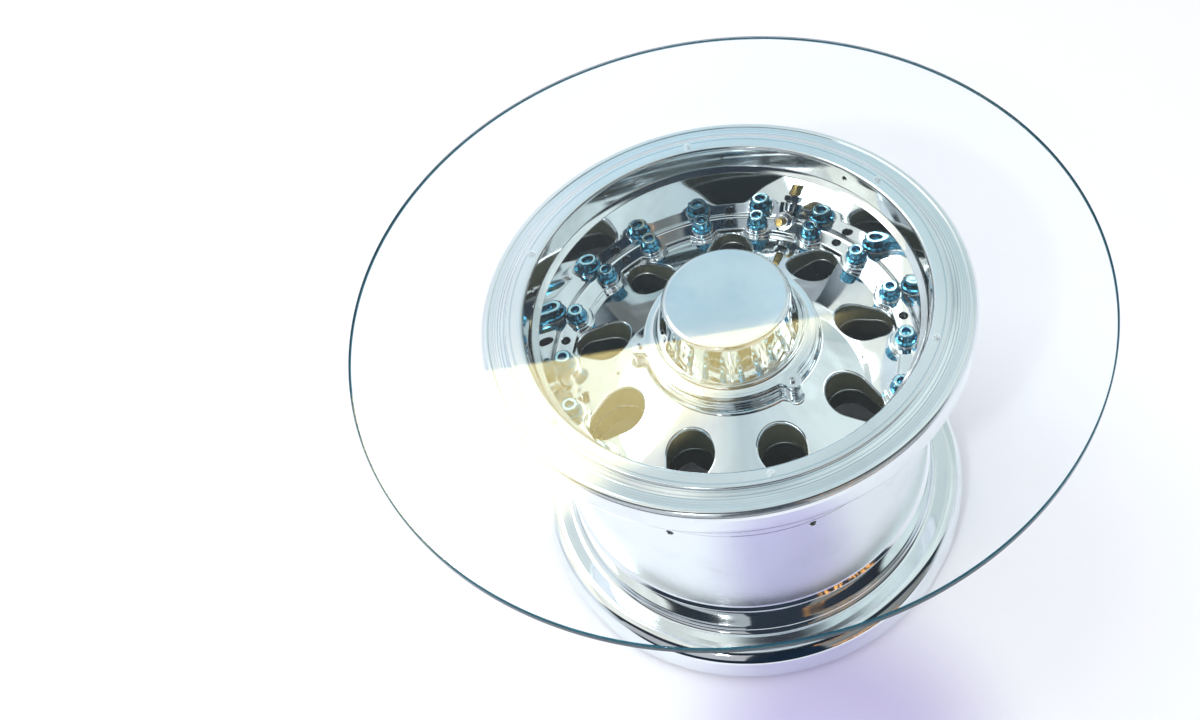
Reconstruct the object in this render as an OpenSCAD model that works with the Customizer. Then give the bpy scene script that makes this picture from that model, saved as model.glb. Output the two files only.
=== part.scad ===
// Coffee table made from a two-piece aircraft wheel that lies on its flange,
// with a round glass top resting on the upper flange.
// The floor is z = 0 and the wheel axis is the z axis.

/* [Glass top] */
// Diameter of the glass disc
glass_d = 914; // [760:1:1000]
// Thickness of the glass
glass_t = 10; // [6:0.5:19]
// Radius of the ground edge
glass_edge = 2; // [0.5:0.1:2.8]

/* [Bumpers] */
// Diameter of a clear bumper under the glass
bumper_d = 10; // [6:0.5:11]
// Thickness of a bumper
bumper_t = 4; // [1:0.1:6]
// Number of bumpers round the crest
bumper_n = 6; // [3:1:8]
// Direction of the first bumper
bumper_turn = 30; // [0:1:60]

/* [Flanges] */
// Width of the wheel from crest to crest
wheel_w = 448; // [420:1:520]
// Height of a flange over the heel of its bead seat
flange_h = 44.5; // [40:0.5:52]
// Radius of the lip crown
lip_r = 10; // [7:0.5:11]
// Drop from the crest to the widest line of the lip
lip_drop = 14.5; // [13:0.5:17]
// Radius of the shoulder behind the lip
shoulder_r = 22; // [14:1:26]
// Width of a flange from its crest to its tyre face
flange_w = 56; // [50:1:64]
// Distance of the crest outside the mouth
crest_out = 5; // [4.5:0.25:6.5]
// Width of the flat on the crest
crest_w = 12; // [11:0.5:13.5]
// Width of the small step outside the crest
step_w = 5; // [4:0.5:7]
// Drop from the crest to that step
step_drop = 2.5; // [1.5:0.1:3.5]
// Radial width of the marking band inside the lip
band_w = 13; // [9:0.5:15]
// Drop from the crest to the marking band
band_drop = 6; // [5:0.1:8]
// Width of the rise from the marking band to the lip
lip_rise_w = 1; // [0.5:0.1:2]
// Width of the taper of the mouth
mouth_taper = 5; // [3:0.5:8]
// Radius of the rounded edge of the mouth
mouth_edge = 4; // [2:0.5:4.5]
// Depth of the tapered mouth
mouth_depth = 29; // [24:1:34]

/* [Bead seats and well] */
// Diameter of the well between the bead seats
well_d = 500; // [490:1:560]
// Rise of a bead seat from its inner edge to its heel
heel_rise = 3; // [1:0.5:5]
// Radius of the heel
heel_r = 9; // [5:0.5:12]
// Width of a bead seat
seat_w = 42; // [34:1:48]
// Rise from the well to the inner edge of a bead seat
seat_rise = 4; // [1.5:0.5:6]
// Length of the step from the seat down to the well
well_step = 5; // [2:0.5:8]

/* [Dish] */
// Thickness of the drum wall round the dish
dish_wall = 16; // [14:0.5:18]
// Width of the ledge under the mouth
ledge_w = 8; // [5:0.5:10]
// Height of the ledge
ledge_h = 5; // [3:0.5:9]
// Drop from the crest to the land that carries the bolts
land_drop = 118.5; // [112:0.5:124]
// Width of the land
land_w = 25; // [23:0.5:27]
// Fillet between the land and the dish wall
land_fillet = 6; // [3:0.5:8]
// Step from the land down to the face of the disc
land_step = 7.5; // [3.5:0.5:13.5]
// Rise of the face of the disc from the land to the hub
disc_rise = 35.5; // [30:0.5:41]
// Thickness of the disc at the land
disc_t = 17.5; // [14:0.5:24]
// Number of balance holes in the mouth
balance_n = 9; // [6:1:18]
// Diameter of a balance hole
balance_hole_d = 6; // [4:0.5:8]
// Depth of a balance hole
balance_hole_l = 10; // [6:0.5:14]
// Drop from the crest to the balance holes
balance_drop = 14; // [10:0.5:18]

/* [Vents] */
// Number of vents
vent_n = 9; // [6:1:9]
// Distance of the vents from the land
vent_gap = 1.5; // [0.5:0.5:5]
// Length of a vent
vent_l = 73.5; // [60:0.5:74]
// Width of a vent at its hub end
vent_w = 58; // [46:1:60]
// Width of a vent at its land end
vent_tip_w = 44; // [34:1:48]

/* [Inner half] */
// Thickness of the inner disc
inner_disc_t = 32; // [26:1:40]
// Thickness of the drum wall round the brake cavity
drum_wall = 13; // [11:0.5:15]
// Fillet in the roof of the cavity
cavity_fillet = 8; // [4:0.5:12]
// Wall of the inner hub round its recess
inner_hub_wall = 14; // [10:0.5:20]
// Length of the inner hub below the joint
inner_hub_l = 113; // [90:1:130]
// Distance of the pilot ring inside the well
pilot_in = 12; // [11:0.5:13]
// Width of the pilot ring
pilot_w = 6; // [5:0.5:6.5]
// Height of the pilot ring
pilot_h = 6; // [4:0.5:7]
// Section diameter of the seal ring
seal_d = 4; // [3:0.1:4.5]

/* [Tie bolts] */
// Number of tie bolts
bolt_n = 18; // [9:9:18]
// Distance of the bolt circle from the dish wall
bolt_in = 15.5; // [15:0.5:16]
// Shank diameter
bolt_d = 16; // [12:0.5:18]
// Diameter of the flange under a bolt head
bolt_flange_d = 28; // [25:0.5:29]
// Thickness of that flange
bolt_flange_t = 5; // [3:0.5:6]
// Width of the twelve-point head across its flats
bolt_head_w = 20; // [17:0.5:22]
// Height of the twelve-point head above its flange
bolt_head_h = 12; // [9:0.5:16]
// Diameter of the recess in a head
bolt_recess_d = 11; // [7:0.5:12]
// Depth of the recess in a head
bolt_recess_l = 8; // [4:0.5:10]
// Diameter of the boss round a bolt
bolt_boss_d = 40; // [36:0.5:40]
// Height of that boss, most of it sunk in the disc
bolt_boss_h = 16; // [12:0.5:17]
// Diameter of the spot face under a head
spot_d = 30.6; // [30.4:0.1:30.8]
// Depth of the spot face in the land
spot_depth = 1; // [0.5:0.1:2]
// Diameter of a washer
washer_d = 30; // [28:0.5:30]
// Thickness of a washer
washer_t = 3; // [2:0.1:4]
// Width of a nut across its flats
nut_w = 23; // [20:0.5:24]
// Height of a nut with its flange
nut_h = 15; // [12:0.5:18]
// Thread that stands out of a nut
bolt_end = 4; // [2:0.5:8]

/* [Hub and cap] */
// Height of the hub boss over the face of the disc
hub_h = 19; // [13:0.5:24]
// Wall of the hub boss round its recess
hub_wall = 30; // [27:0.5:34]
// Distance of the cap flange inside the edge of the hub boss
cap_inset = 3; // [1:0.5:5]
// Distance of the cap screws outside the edge of the hub boss
ear_out = 4.5; // [2:0.5:7]
// Radius of an ear
ear_r = 10.5; // [9:0.5:12]
// Radius of the blend between ear and flange
ear_blend = 10; // [6:0.5:14]
// Number of ears
ear_n = 3; // [3:1:4]
// Direction of the first ear
ear_turn = 60; // [20:1:100]
// Thickness of the gasket
gasket_t = 1; // [0.5:0.1:2]
// Thickness of the cap flange
cap_flange_t = 6; // [4:0.5:8]
// Distance of the cap wall inside its flange
cap_foot_in = 16; // [14:0.5:20]
// Draft of the cap wall from its foot to its top
cap_draft = 11.5; // [8:0.5:20]
// Gap between the cap and the glass
cap_gap = 8.5; // [3:0.5:12]
// Radius of the rim of the cap
cap_rim_r = 7; // [6.5:0.5:10]
// Radius of the flare at the foot of the cap
cap_flare_r = 9; // [5:0.5:11]
// Wall of the cap
cap_wall = 4; // [3:0.25:5]
// Diameter of a cap screw
cap_screw_d = 5; // [4:0.5:6]
// Diameter of the head of a cap screw
cap_screw_head_d = 7; // [6.5:0.5:9]
// Height of the head of a cap screw
cap_screw_head_h = 3.5; // [2.5:0.25:5]
// Width of the hexagon socket in a cap screw
cap_socket_w = 3; // [2.5:0.25:4]
// Depth of the hexagon socket in a cap screw
cap_socket_l = 2; // [1.5:0.25:2.25]
// Length of a cap screw under its head
cap_screw_l = 18; // [14:0.5:22]
// Diameter of a threaded insert in an ear
insert_d = 8; // [7.5:0.5:10]

/* [Bearing cups] */
// Diameter of the hub bore
hub_bore_d = 132; // [120:1:136]
// Thickness of the outer bearing cup at its shoulder
outer_cup_t = 9; // [6.5:0.5:12]
// Width of the outer bearing cup
outer_cup_w = 30; // [24:1:34]
// Widening of the recess above the outer cup
outer_recess_w = 5; // [3:0.5:8]
// Depth of that recess
outer_recess_l = 8; // [4:0.5:12]
// Thickness of the inner bearing cup at its shoulder
inner_cup_t = 16; // [8:0.5:19]
// Width of the inner bearing cup
inner_cup_w = 38; // [28:1:42]
// Widening of the recess under the inner cup
inner_recess_w = 6; // [3:0.5:8]
// Depth of that recess
inner_recess_l = 12; // [8:0.5:16]
// Least thickness of a cup, at the small end of its raceway
cup_thin = 5; // [4:0.5:6]

/* [Ports in the land] */
// Direction of the inflation valve
valve_turn = 60; // [20:40:100]
// Direction of the first fuse plug
fuse_1_turn = 180; // [140:40:220]
// Direction of the second fuse plug
fuse_2_turn = 300; // [300:40:340]
// Direction of the relief plug
relief_turn = 260; // [220:40:260]
// Distance of a port seat from the dish wall
port_in = 17; // [15:0.5:19]
// Height of the centre of a port seat over the land
port_h = 14.5; // [12.5:0.5:16.5]
// Slope of a port above the horizontal
port_slope = 42; // [38:1:45]
// Diameter of the boss round a port
port_boss_d = 26; // [24:0.5:30]
// Length of the boss along the port
port_boss_l = 22; // [18:0.5:24]
// Diameter of the bore of a port
port_bore_d = 10; // [8:0.5:11]
// Diameter of the drilling from the bore to the tyre side
port_drill_d = 3; // [2:0.5:5]
// Diameter of the seal under a fitting
port_seal_d = 13; // [12:0.5:13.5]
// Thickness of the seal under a fitting
port_seal_t = 1.6; // [1:0.1:2.5]
// Length of a fitting inside the bore
port_stub_l = 20; // [12:1:30]

/* [Inflation valve] */
// Width of the valve hexagon across its flats
valve_hex_w = 17; // [14:0.5:20]
// Height of the valve hexagon
valve_hex_h = 8; // [6:0.5:10]
// Diameter of the valve stem
valve_stem_d = 8; // [7:0.1:9]
// Length of the valve stem
valve_stem_l = 14; // [12:0.5:18]
// Diameter of the bore in the stem
valve_bore_d = 5; // [4:0.1:5.5]
// Depth of the bore in the stem
valve_bore_l = 14; // [12:0.5:16]
// Length of the valve core
valve_core_l = 9; // [7:0.5:10]
// Diameter of the core pin
valve_pin_d = 2; // [1.5:0.1:2.5]
// Length of the core pin
valve_pin_l = 10.5; // [9.5:0.5:11]
// Travel of the core pin
valve_pin_travel = 1.5; // [1:0.1:2]
// Diameter of the brass cap
valve_cap_d = 12; // [11:0.5:14]
// Height of the brass cap
valve_cap_h = 15; // [14:0.5:20]
// Height of the wider grip at the foot of the brass cap
valve_cap_grip_h = 7.5; // [5:0.5:10]
// Diameter of the brass cap above its grip
valve_cap_neck_d = 11; // [10:0.25:11.75]
// Bevel on the top of the brass cap
valve_cap_bevel = 1; // [0.3:0.1:1.5]
// Gap between the cap and the hexagon
valve_cap_lift = 1; // [0.5:0.1:2]

/* [Plugs] */
// Width of a plug hexagon across its flats
plug_hex_w = 14; // [12:0.5:18]
// Height of a plug hexagon
plug_hex_h = 7; // [5:0.5:9]
// Diameter of the fusible core that shows in a fuse plug
fuse_core_d = 5; // [3:0.5:7]
// Depth of the dimple over that core
fuse_core_l = 1; // [0.5:0.1:2]
// Height of the collar on the relief plug
relief_collar_h = 7; // [4:0.5:10]
// Diameter of the collar on the relief plug
relief_collar_d = 11; // [8:0.5:13]
// Diameter of the vent hole in that collar
relief_bore_d = 5.5; // [3:0.5:6.5]
// Depth of that vent hole
relief_bore_l = 3.5; // [2:0.5:6]

/* [Drive keys] */
// Number of drive keys
key_n = 9; // [6:1:9]
// Width of a drive key
key_w = 26; // [20:1:30]
// Depth of a drive key towards the axis
key_t = 20; // [18:0.5:24]
// Height of the lower end of a key above the floor
key_low = 36; // [30:1:60]
// Distance of the key holes from the wall of the cavity
key_hole_in = 14.5; // [14:0.5:15.5]
// Diameter of a key hole
key_hole_d = 12; // [10:0.5:13]
// Distance of the peg on a key below the joint
key_peg_drop = 3; // [1:0.5:8]
// Diameter of the radial lock screw that holds a peg
lock_d = 9; // [7:0.5:10]
// Drop of the lock screws under the joint
lock_drop = 8; // [6.5:0.5:12]
// Width of the hexagon socket in a lock screw
lock_socket_w = 4; // [3:0.5:5]
// Depth of the hexagon socket in a lock screw
lock_socket_l = 5; // [3:0.5:8]
// Depth of a lock screw under the well
lock_sunk = 3; // [1:0.5:4]
// Diameter of the screw at the lower end of a key
key_screw_d = 8; // [6:0.5:10]
// Height of that screw above the lower end of the key
key_screw_up = 22; // [16:1:30]
// Diameter of the head of that screw
key_screw_head_d = 13; // [12:0.5:16]
// Height of the head of that screw
key_screw_head_h = 8; // [5:0.5:9]
// Width of the hexagon socket in that screw
key_socket_w = 6; // [4:0.5:7]
// Depth of the hexagon socket in that screw
key_socket_l = 4; // [2:0.5:4.5]
// Length of that screw in the drum wall
key_screw_bite = 8; // [6:0.5:9]

/* [Fits] */
// Clearance between fixed pieces that face each other
fit = 0.1; // [0.05:0.01:0.2]
// Clearance of a bolt or screw in its hole
hole_fit = 0.25; // [0.15:0.05:0.4]
// Clearance of a moving piece
run_fit = 0.3; // [0.2:0.05:0.4]

/* [Hidden] */
$fn = 96;
fuse_turns = [fuse_1_turn, fuse_2_turn];
keys = [for (i = [1:key_n]) str("drive_key_", i)];
bumpers = [for (i = [1:bumper_n]) str("glass_bumper_", i)];
fuses = [for (i = [1:len(fuse_turns)]) str("fuse_plug_", i)];

// Overshoot of a body that cuts through a face
past = 1;
// Depth by which the eared plate of the hub runs into the turned part of it
ear_foot = 1;
// Depth by which the blend of an ear runs into the circles beside it
blend_lap = 0.05;

// Colours of the finishes
polished = [0.85, 0.87, 0.89];
steel = [0.62, 0.63, 0.65];
bolt_blue = [0.16, 0.52, 0.62];
brass = [0.83, 0.64, 0.24];
rubber = [0.09, 0.09, 0.10];
clear_glass = [0.72, 0.88, 0.88, 0.35];

// Drops from the crest
face_low = land_drop + land_step;
face_top = face_low - disc_rise;
hub_drop = face_top - hub_h;
joint_drop = face_low + disc_t;

// Heights over the floor
joint_z = wheel_w - joint_drop;
land_z = wheel_w - land_drop;
spot_z = land_z - spot_depth;
inner_disc_z = joint_z - inner_disc_t;
hub_top_z = wheel_w - hub_drop;
hub_low_z = joint_z - inner_hub_l;
glass_z = wheel_w + bumper_t;
gasket_z = hub_top_z + gasket_t;
cap_flange_z = gasket_z + cap_flange_t;
cap_top_z = glass_z - cap_gap;
outer_cup_z = hub_top_z - outer_recess_l - outer_cup_w;
inner_cup_z = hub_low_z + inner_recess_l;
washer_top_z = spot_z + washer_t;

// Radii and diameters that follow, from the well inwards and outwards
seat_r = well_d / 2 + seat_rise;
heel_foot_r = seat_r + heel_rise;
lip_out_r = heel_foot_r + flange_h;
lip_mid_r = lip_out_r - lip_r;
dish_r = well_d / 2 - dish_wall;
ledge_r = dish_r + ledge_w;
mouth_r = ledge_r + mouth_taper;
crest_r = mouth_r + crest_out;
land_r = dish_r - land_w;
bolt_r = dish_r - bolt_in;
port_r = dish_r - port_in;
pilot_r = well_d / 2 - pilot_in;
cavity_r = well_d / 2 - drum_wall;
key_hole_r = cavity_r - key_hole_in;
outer_cup_d = hub_bore_d + 2 * outer_cup_t;
outer_recess_d = outer_cup_d + 2 * outer_recess_w;
inner_cup_d = hub_bore_d + 2 * inner_cup_t;
inner_recess_d = inner_cup_d + 2 * inner_recess_w;
inner_hub_d = inner_recess_d + 2 * inner_hub_wall;
hub_d = outer_recess_d + 2 * hub_wall;
cap_flange_d = hub_d - 2 * cap_inset;
cap_foot_r = cap_flange_d / 2 - cap_foot_in;
cap_top_r = cap_foot_r - cap_draft;
ear_at = hub_d / 2 + ear_out;
seat_low = flange_w + heel_r + seat_w;
gland = (seal_d / 2 + fit) * (2 + sqrt(2));
bolt_step = 360 / bolt_n;
bolt_turn = bolt_step / 2;
vent_hub_r = vent_w / 2;
vent_tip_r = vent_tip_w / 2;
vent_tip_at = land_r - vent_gap - vent_tip_r;
vent_hub_at = land_r - vent_gap - vent_l + vent_hub_r;
key_out = sqrt(pow(cavity_r - run_fit, 2) - pow(key_w / 2, 2));
key_in = key_out - key_t;
key_screw_z = key_low + key_screw_up;
key_screw_end = cavity_r + key_screw_bite;
port_drill_l = (well_d / 2 - port_r + past) / cos(port_slope) + port_drill_d;
valve_tip = port_seal_t + valve_hex_h + valve_stem_l;
valve_floor = valve_tip - valve_bore_l;

// Points of an arc in a profile
function arc(x, y, r, from, to, steps = 6) =
    [for (i = [0:steps]) let (a = from + (to - from) * i / steps) [x + r * cos(a), y + r * sin(a)]];

// Skin of a flange as radius and drop from its crest, from the mouth over the lip to the well
function flange_skin() = concat(
    arc(mouth_r + mouth_edge, mouth_edge, mouth_edge, 180, 270, 4),
    [[crest_r, 0], [crest_r + crest_w, 0]],
    arc(crest_r + crest_w + step_w - step_drop, step_drop, step_drop, -90, 0, 4),
    [[lip_mid_r - band_w, band_drop], [lip_mid_r - lip_rise_w, band_drop]],
    arc(lip_mid_r, lip_drop, lip_r, -90, 0, 8),
    arc(lip_out_r - shoulder_r, flange_w - shoulder_r, shoulder_r, 0, 90, 8),
    arc(heel_foot_r + heel_r, flange_w + heel_r, heel_r, -90, -180),
    [[seat_r, seat_low], [well_d / 2, seat_low + well_step]]);

function over_floor(points) = [for (p = points) [p[0], wheel_w - p[1]]];

module round_copies(n, turn = 0) {
    for (i = [0:n - 1]) rotate([0, 0, turn + i * 360 / n]) children();
}

// Frame of a port: its z axis is the axis of the fitting, pointing up and towards the hub
module at_port(direction) {
    rotate([0, 0, direction]) translate([port_r, 0, land_z + port_h])
        rotate([0, port_slope - 90, 0]) children();
}

// Frame of a radial piece: its z axis points away from the wheel axis
module radial(height, from) {
    translate([from, 0, height]) rotate([0, 90, 0]) children();
}

module hexagon(width, height) {
    rotate([0, 0, 30]) cylinder(d = width / cos(30), h = height, $fn = 6);
}

module twelve_point(width, height) {
    for (turn = [0, 30]) rotate([0, 0, turn]) hexagon(width, height);
}

module ring(outer_d, inner_d, height) {
    difference() {
        cylinder(d = outer_d, h = height);
        translate([0, 0, -past]) cylinder(d = inner_d, h = height + 2 * past);
    }
}

// Outline of a vent: two circles and the tangents that join them
module vent_outline() {
    lean = acos((vent_hub_r - vent_tip_r) / (vent_tip_at - vent_hub_at));
    hub_side = [vent_hub_at + vent_hub_r * cos(lean), vent_hub_r * sin(lean)];
    tip_side = [vent_tip_at + vent_tip_r * cos(lean), vent_tip_r * sin(lean)];
    translate([vent_hub_at, 0]) circle(r = vent_hub_r);
    translate([vent_tip_at, 0]) circle(r = vent_tip_r);
    polygon([hub_side, tip_side, [tip_side[0], -tip_side[1]], [hub_side[0], -hub_side[1]]]);
}

module vents(from, height) {
    round_copies(vent_n) translate([0, 0, from]) linear_extrude(height) vent_outline();
}

// Plate of the hub boss, the gasket and the cap flange: a disc with blended ears
module eared_plate(diameter, height) {
    r = diameter / 2;
    near = r + ear_blend - blend_lap;
    far = ear_r + ear_blend - blend_lap;
    swing = acos((near * near + ear_at * ear_at - far * far) / (2 * near * ear_at));
    corner = [near * cos(swing), near * sin(swing)];
    cylinder(d = diameter, h = height);
    round_copies(ear_n, ear_turn) {
        translate([ear_at, 0, 0]) cylinder(r = ear_r, h = height);
        difference() {
            linear_extrude(height) polygon([[0, 0], corner, [ear_at, 0], [corner[0], -corner[1]]]);
            for (side = [-1, 1]) translate([corner[0], side * corner[1], -past])
                cylinder(r = ear_blend, h = height + 2 * past);
        }
    }
}

module ear_holes(from, height) {
    round_copies(ear_n, ear_turn) translate([ear_at, 0, from])
        cylinder(d = cap_screw_d + 2 * hole_fit, h = height);
}

module glass_top() {
    color(clear_glass) translate([0, 0, glass_z]) rotate_extrude($fn = 180)
        polygon(concat([[0, 0]],
            arc(glass_d / 2 - glass_edge, glass_edge, glass_edge, -90, 0),
            arc(glass_d / 2 - glass_edge, glass_t - glass_edge, glass_edge, 0, 90),
            [[0, glass_t]]));
}

module glass_bumper(i) {
    color(clear_glass) rotate([0, 0, bumper_turn + (i - 1) * 360 / bumper_n])
        translate([crest_r + crest_w / 2, 0, wheel_w]) cylinder(d = bumper_d, h = bumper_t);
}

// Section of the outer half: hub, joint face, tyre side, flange, dish wall, land and disc face
module outer_section() {
    polygon(over_floor(concat(
        [[hub_d / 2 - ear_foot, hub_drop], [outer_recess_d / 2, hub_drop],
         [outer_recess_d / 2, hub_drop + outer_recess_l],
         [outer_cup_d / 2, hub_drop + outer_recess_l],
         [outer_cup_d / 2, hub_drop + outer_recess_l + outer_cup_w],
         [hub_bore_d / 2, hub_drop + outer_recess_l + outer_cup_w], [hub_bore_d / 2, joint_drop],
         [pilot_r - pilot_w - fit, joint_drop],
         [pilot_r - pilot_w - fit, joint_drop - pilot_h - fit],
         [pilot_r + fit, joint_drop - pilot_h - fit],
         [pilot_r + fit, joint_drop - gland], [pilot_r + fit + gland, joint_drop],
         [well_d / 2, joint_drop]],
        [for (i = [len(flange_skin()) - 1:-1:0]) flange_skin()[i]],
        [[ledge_r, mouth_depth], [dish_r, mouth_depth + ledge_h]],
        arc(dish_r - land_fillet, land_drop - land_fillet, land_fillet, 0, 90),
        [[land_r, land_drop], [land_r, face_low], [hub_d / 2 - ear_foot, face_top]])));
}

module outer_wheel_half() {
    color(polished) difference() {
        union() {
            rotate_extrude() outer_section();
            translate([0, 0, joint_z]) difference() {
                eared_plate(hub_d, hub_top_z - joint_z);
                translate([0, 0, -past])
                    cylinder(d = hub_d - 4 * ear_foot, h = hub_top_z - joint_z + 2 * past);
            }
            round_copies(bolt_n, bolt_turn) translate([bolt_r, 0, land_z - bolt_boss_h])
                cylinder(d = bolt_boss_d, h = bolt_boss_h);
            for (direction = concat([valve_turn, relief_turn], fuse_turns)) at_port(direction)
                translate([0, 0, -port_boss_l]) cylinder(d = port_boss_d, h = port_boss_l);
        }
        vents(joint_z - past, hub_top_z - joint_z + 2 * past);
        round_copies(bolt_n, bolt_turn) translate([bolt_r, 0, 0]) {
            translate([0, 0, joint_z - past]) cylinder(d = bolt_d + 2 * hole_fit, h = joint_drop);
            translate([0, 0, spot_z]) cylinder(d = spot_d, h = land_drop - mouth_depth);
        }
        round_copies(key_n) translate([key_hole_r, 0, joint_z - past])
            cylinder(d = key_hole_d, h = joint_drop);
        round_copies(balance_n) radial(wheel_w - balance_drop, ledge_r)
            cylinder(d = balance_hole_d, h = mouth_taper + balance_hole_l);
        round_copies(ear_n, ear_turn) translate([ear_at, 0, hub_top_z - cap_screw_l])
            cylinder(d = insert_d + 2 * fit, h = cap_screw_l + past);
        for (direction = concat([valve_turn, relief_turn], fuse_turns)) at_port(direction) {
            translate([0, 0, -port_stub_l - past]) cylinder(d = port_bore_d, h = port_stub_l + 2 * past);
            translate([0, 0, -port_drill_l]) cylinder(d = port_drill_d, h = port_drill_l);
        }
    }
}

// Section of the inner half: hub, joint face with pilot, tyre side, flange and brake cavity
module inner_section() {
    skin = flange_skin();
    polygon(concat(
        [[hub_bore_d / 2, joint_z], [pilot_r - pilot_w, joint_z],
         [pilot_r - pilot_w, joint_z + pilot_h], [pilot_r, joint_z + pilot_h],
         [pilot_r, joint_z], [well_d / 2, joint_z]],
        [for (i = [len(skin) - 1:-1:0]) skin[i]],
        [[cavity_r, mouth_depth]],
        arc(cavity_r - cavity_fillet, inner_disc_z - cavity_fillet, cavity_fillet, 0, 90),
        [[inner_hub_d / 2, inner_disc_z], [inner_hub_d / 2, hub_low_z],
         [inner_recess_d / 2, hub_low_z], [inner_recess_d / 2, inner_cup_z],
         [inner_cup_d / 2, inner_cup_z], [inner_cup_d / 2, inner_cup_z + inner_cup_w],
         [hub_bore_d / 2, inner_cup_z + inner_cup_w]]));
}

module inner_wheel_half() {
    color(polished) difference() {
        rotate_extrude() inner_section();
        vents(inner_disc_z - past, inner_disc_t + 2 * past);
        round_copies(bolt_n, bolt_turn) translate([bolt_r, 0, inner_disc_z - cavity_fillet]) {
            cylinder(d = bolt_d + 2 * hole_fit, h = cavity_fillet + inner_disc_t + pilot_h + past);
            cylinder(d = spot_d, h = cavity_fillet + spot_depth);
        }
        round_copies(key_n) translate([key_hole_r, 0, inner_disc_z - past])
            cylinder(d = key_hole_d, h = inner_disc_t + pilot_h + 2 * past);
        round_copies(key_n) radial(joint_z - lock_drop, key_hole_r)
            cylinder(d = lock_d, h = well_d / 2 - key_hole_r + past);
        round_copies(key_n) radial(key_screw_z, key_out)
            cylinder(d = key_screw_d + 2 * hole_fit, h = key_screw_end - key_out + past);
    }
}

module seal_ring() {
    r = seal_d / 2;
    color(rubber) rotate_extrude()
        translate([pilot_r + fit + r, joint_z + fit + r]) circle(r = r, $fn = 32);
}

module tie_bolts() {
    shank = washer_top_z - (inner_disc_z + spot_depth - washer_t - nut_h - bolt_end);
    color(bolt_blue) round_copies(bolt_n, bolt_turn) translate([bolt_r, 0, washer_top_z]) {
        translate([0, 0, -shank]) cylinder(d = bolt_d, h = shank);
        difference() {
            union() {
                cylinder(d = bolt_flange_d, h = bolt_flange_t);
                translate([0, 0, bolt_flange_t]) twelve_point(bolt_head_w, bolt_head_h);
            }
            translate([0, 0, bolt_flange_t + bolt_head_h - bolt_recess_l])
                cylinder(d = bolt_recess_d, h = bolt_recess_l + past);
        }
    }
}

module washers(height) {
    round_copies(bolt_n, bolt_turn) translate([bolt_r, 0, height])
        ring(washer_d, bolt_d + 2 * hole_fit, washer_t);
}

module head_washers() {
    color(polished) washers(spot_z);
}

module nut_washers() {
    color(steel) washers(inner_disc_z + spot_depth - washer_t);
}

module tie_bolt_nuts() {
    color(steel) round_copies(bolt_n, bolt_turn)
        translate([bolt_r, 0, inner_disc_z + spot_depth - washer_t - nut_h]) difference() {
            union() {
                twelve_point(nut_w, nut_h);
                translate([0, 0, nut_h - bolt_flange_t]) cylinder(d = bolt_flange_d, h = bolt_flange_t);
            }
            translate([0, 0, -past]) cylinder(d = bolt_d + 2 * fit, h = nut_h + 2 * past);
        }
}

// Section of the cap over its flange, inside and outside
module cap_section() {
    lean = atan(cap_draft / (cap_top_z - cap_rim_r - cap_flange_z - cap_flare_r));
    polygon(concat(
        [[0, cap_top_z]],
        arc(cap_top_r - cap_rim_r, cap_top_z - cap_rim_r, cap_rim_r, 90, lean),
        arc(cap_foot_r + cap_flare_r, cap_flange_z + cap_flare_r, cap_flare_r, 180 + lean, 270),
        [[cap_foot_r + cap_flare_r, gasket_z], [cap_foot_r - cap_wall, gasket_z],
         [cap_foot_r - cap_wall, cap_flange_z + cap_flare_r]],
        arc(cap_top_r - cap_rim_r, cap_top_z - cap_rim_r, cap_rim_r - cap_wall, lean, 90),
        [[0, cap_top_z - cap_wall]]));
}

module hubcap() {
    color(polished) {
        rotate_extrude() cap_section();
        translate([0, 0, gasket_z]) difference() {
            eared_plate(cap_flange_d, cap_flange_t);
            translate([0, 0, -past]) cylinder(r = cap_foot_r, h = cap_flange_t + 2 * past);
            ear_holes(-past, cap_flange_t + 2 * past);
        }
    }
}

module hubcap_gasket() {
    color(rubber) translate([0, 0, hub_top_z]) difference() {
        eared_plate(cap_flange_d, gasket_t);
        translate([0, 0, -past]) cylinder(d = outer_recess_d, h = gasket_t + 2 * past);
        ear_holes(-past, gasket_t + 2 * past);
    }
}

module hubcap_screws() {
    color(steel) round_copies(ear_n, ear_turn) translate([ear_at, 0, cap_flange_z]) {
        difference() {
            cylinder(d = cap_screw_head_d, h = cap_screw_head_h);
            translate([0, 0, cap_screw_head_h - cap_socket_l])
                hexagon(cap_socket_w, cap_socket_l + past);
        }
        translate([0, 0, -cap_screw_l]) cylinder(d = cap_screw_d, h = cap_screw_l);
    }
}

module screw_inserts() {
    color(steel) round_copies(ear_n, ear_turn) translate([ear_at, 0, hub_top_z - cap_screw_l])
        ring(insert_d, cap_screw_d + 2 * fit, cap_screw_l);
}

// A bearing cup with a tapered raceway that opens towards its mouth
module cup_section(diameter, width) {
    r = diameter / 2 - fit / 2;
    polygon([[r, 0], [r, width], [r - cup_thin, width], [hub_bore_d / 2, 0]]);
}

module outer_bearing_cup() {
    color(steel) translate([0, 0, outer_cup_z]) rotate_extrude()
        cup_section(outer_cup_d, outer_cup_w);
}

module inner_bearing_cup() {
    color(steel) translate([0, 0, inner_cup_z + inner_cup_w]) mirror([0, 0, 1]) rotate_extrude()
        cup_section(inner_cup_d, inner_cup_w);
}

module port_seal() {
    ring(port_seal_d, port_bore_d, port_seal_t);
}

module port_stub() {
    translate([0, 0, -port_stub_l]) cylinder(d = port_bore_d - 2 * fit, h = port_stub_l + port_seal_t);
}

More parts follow.
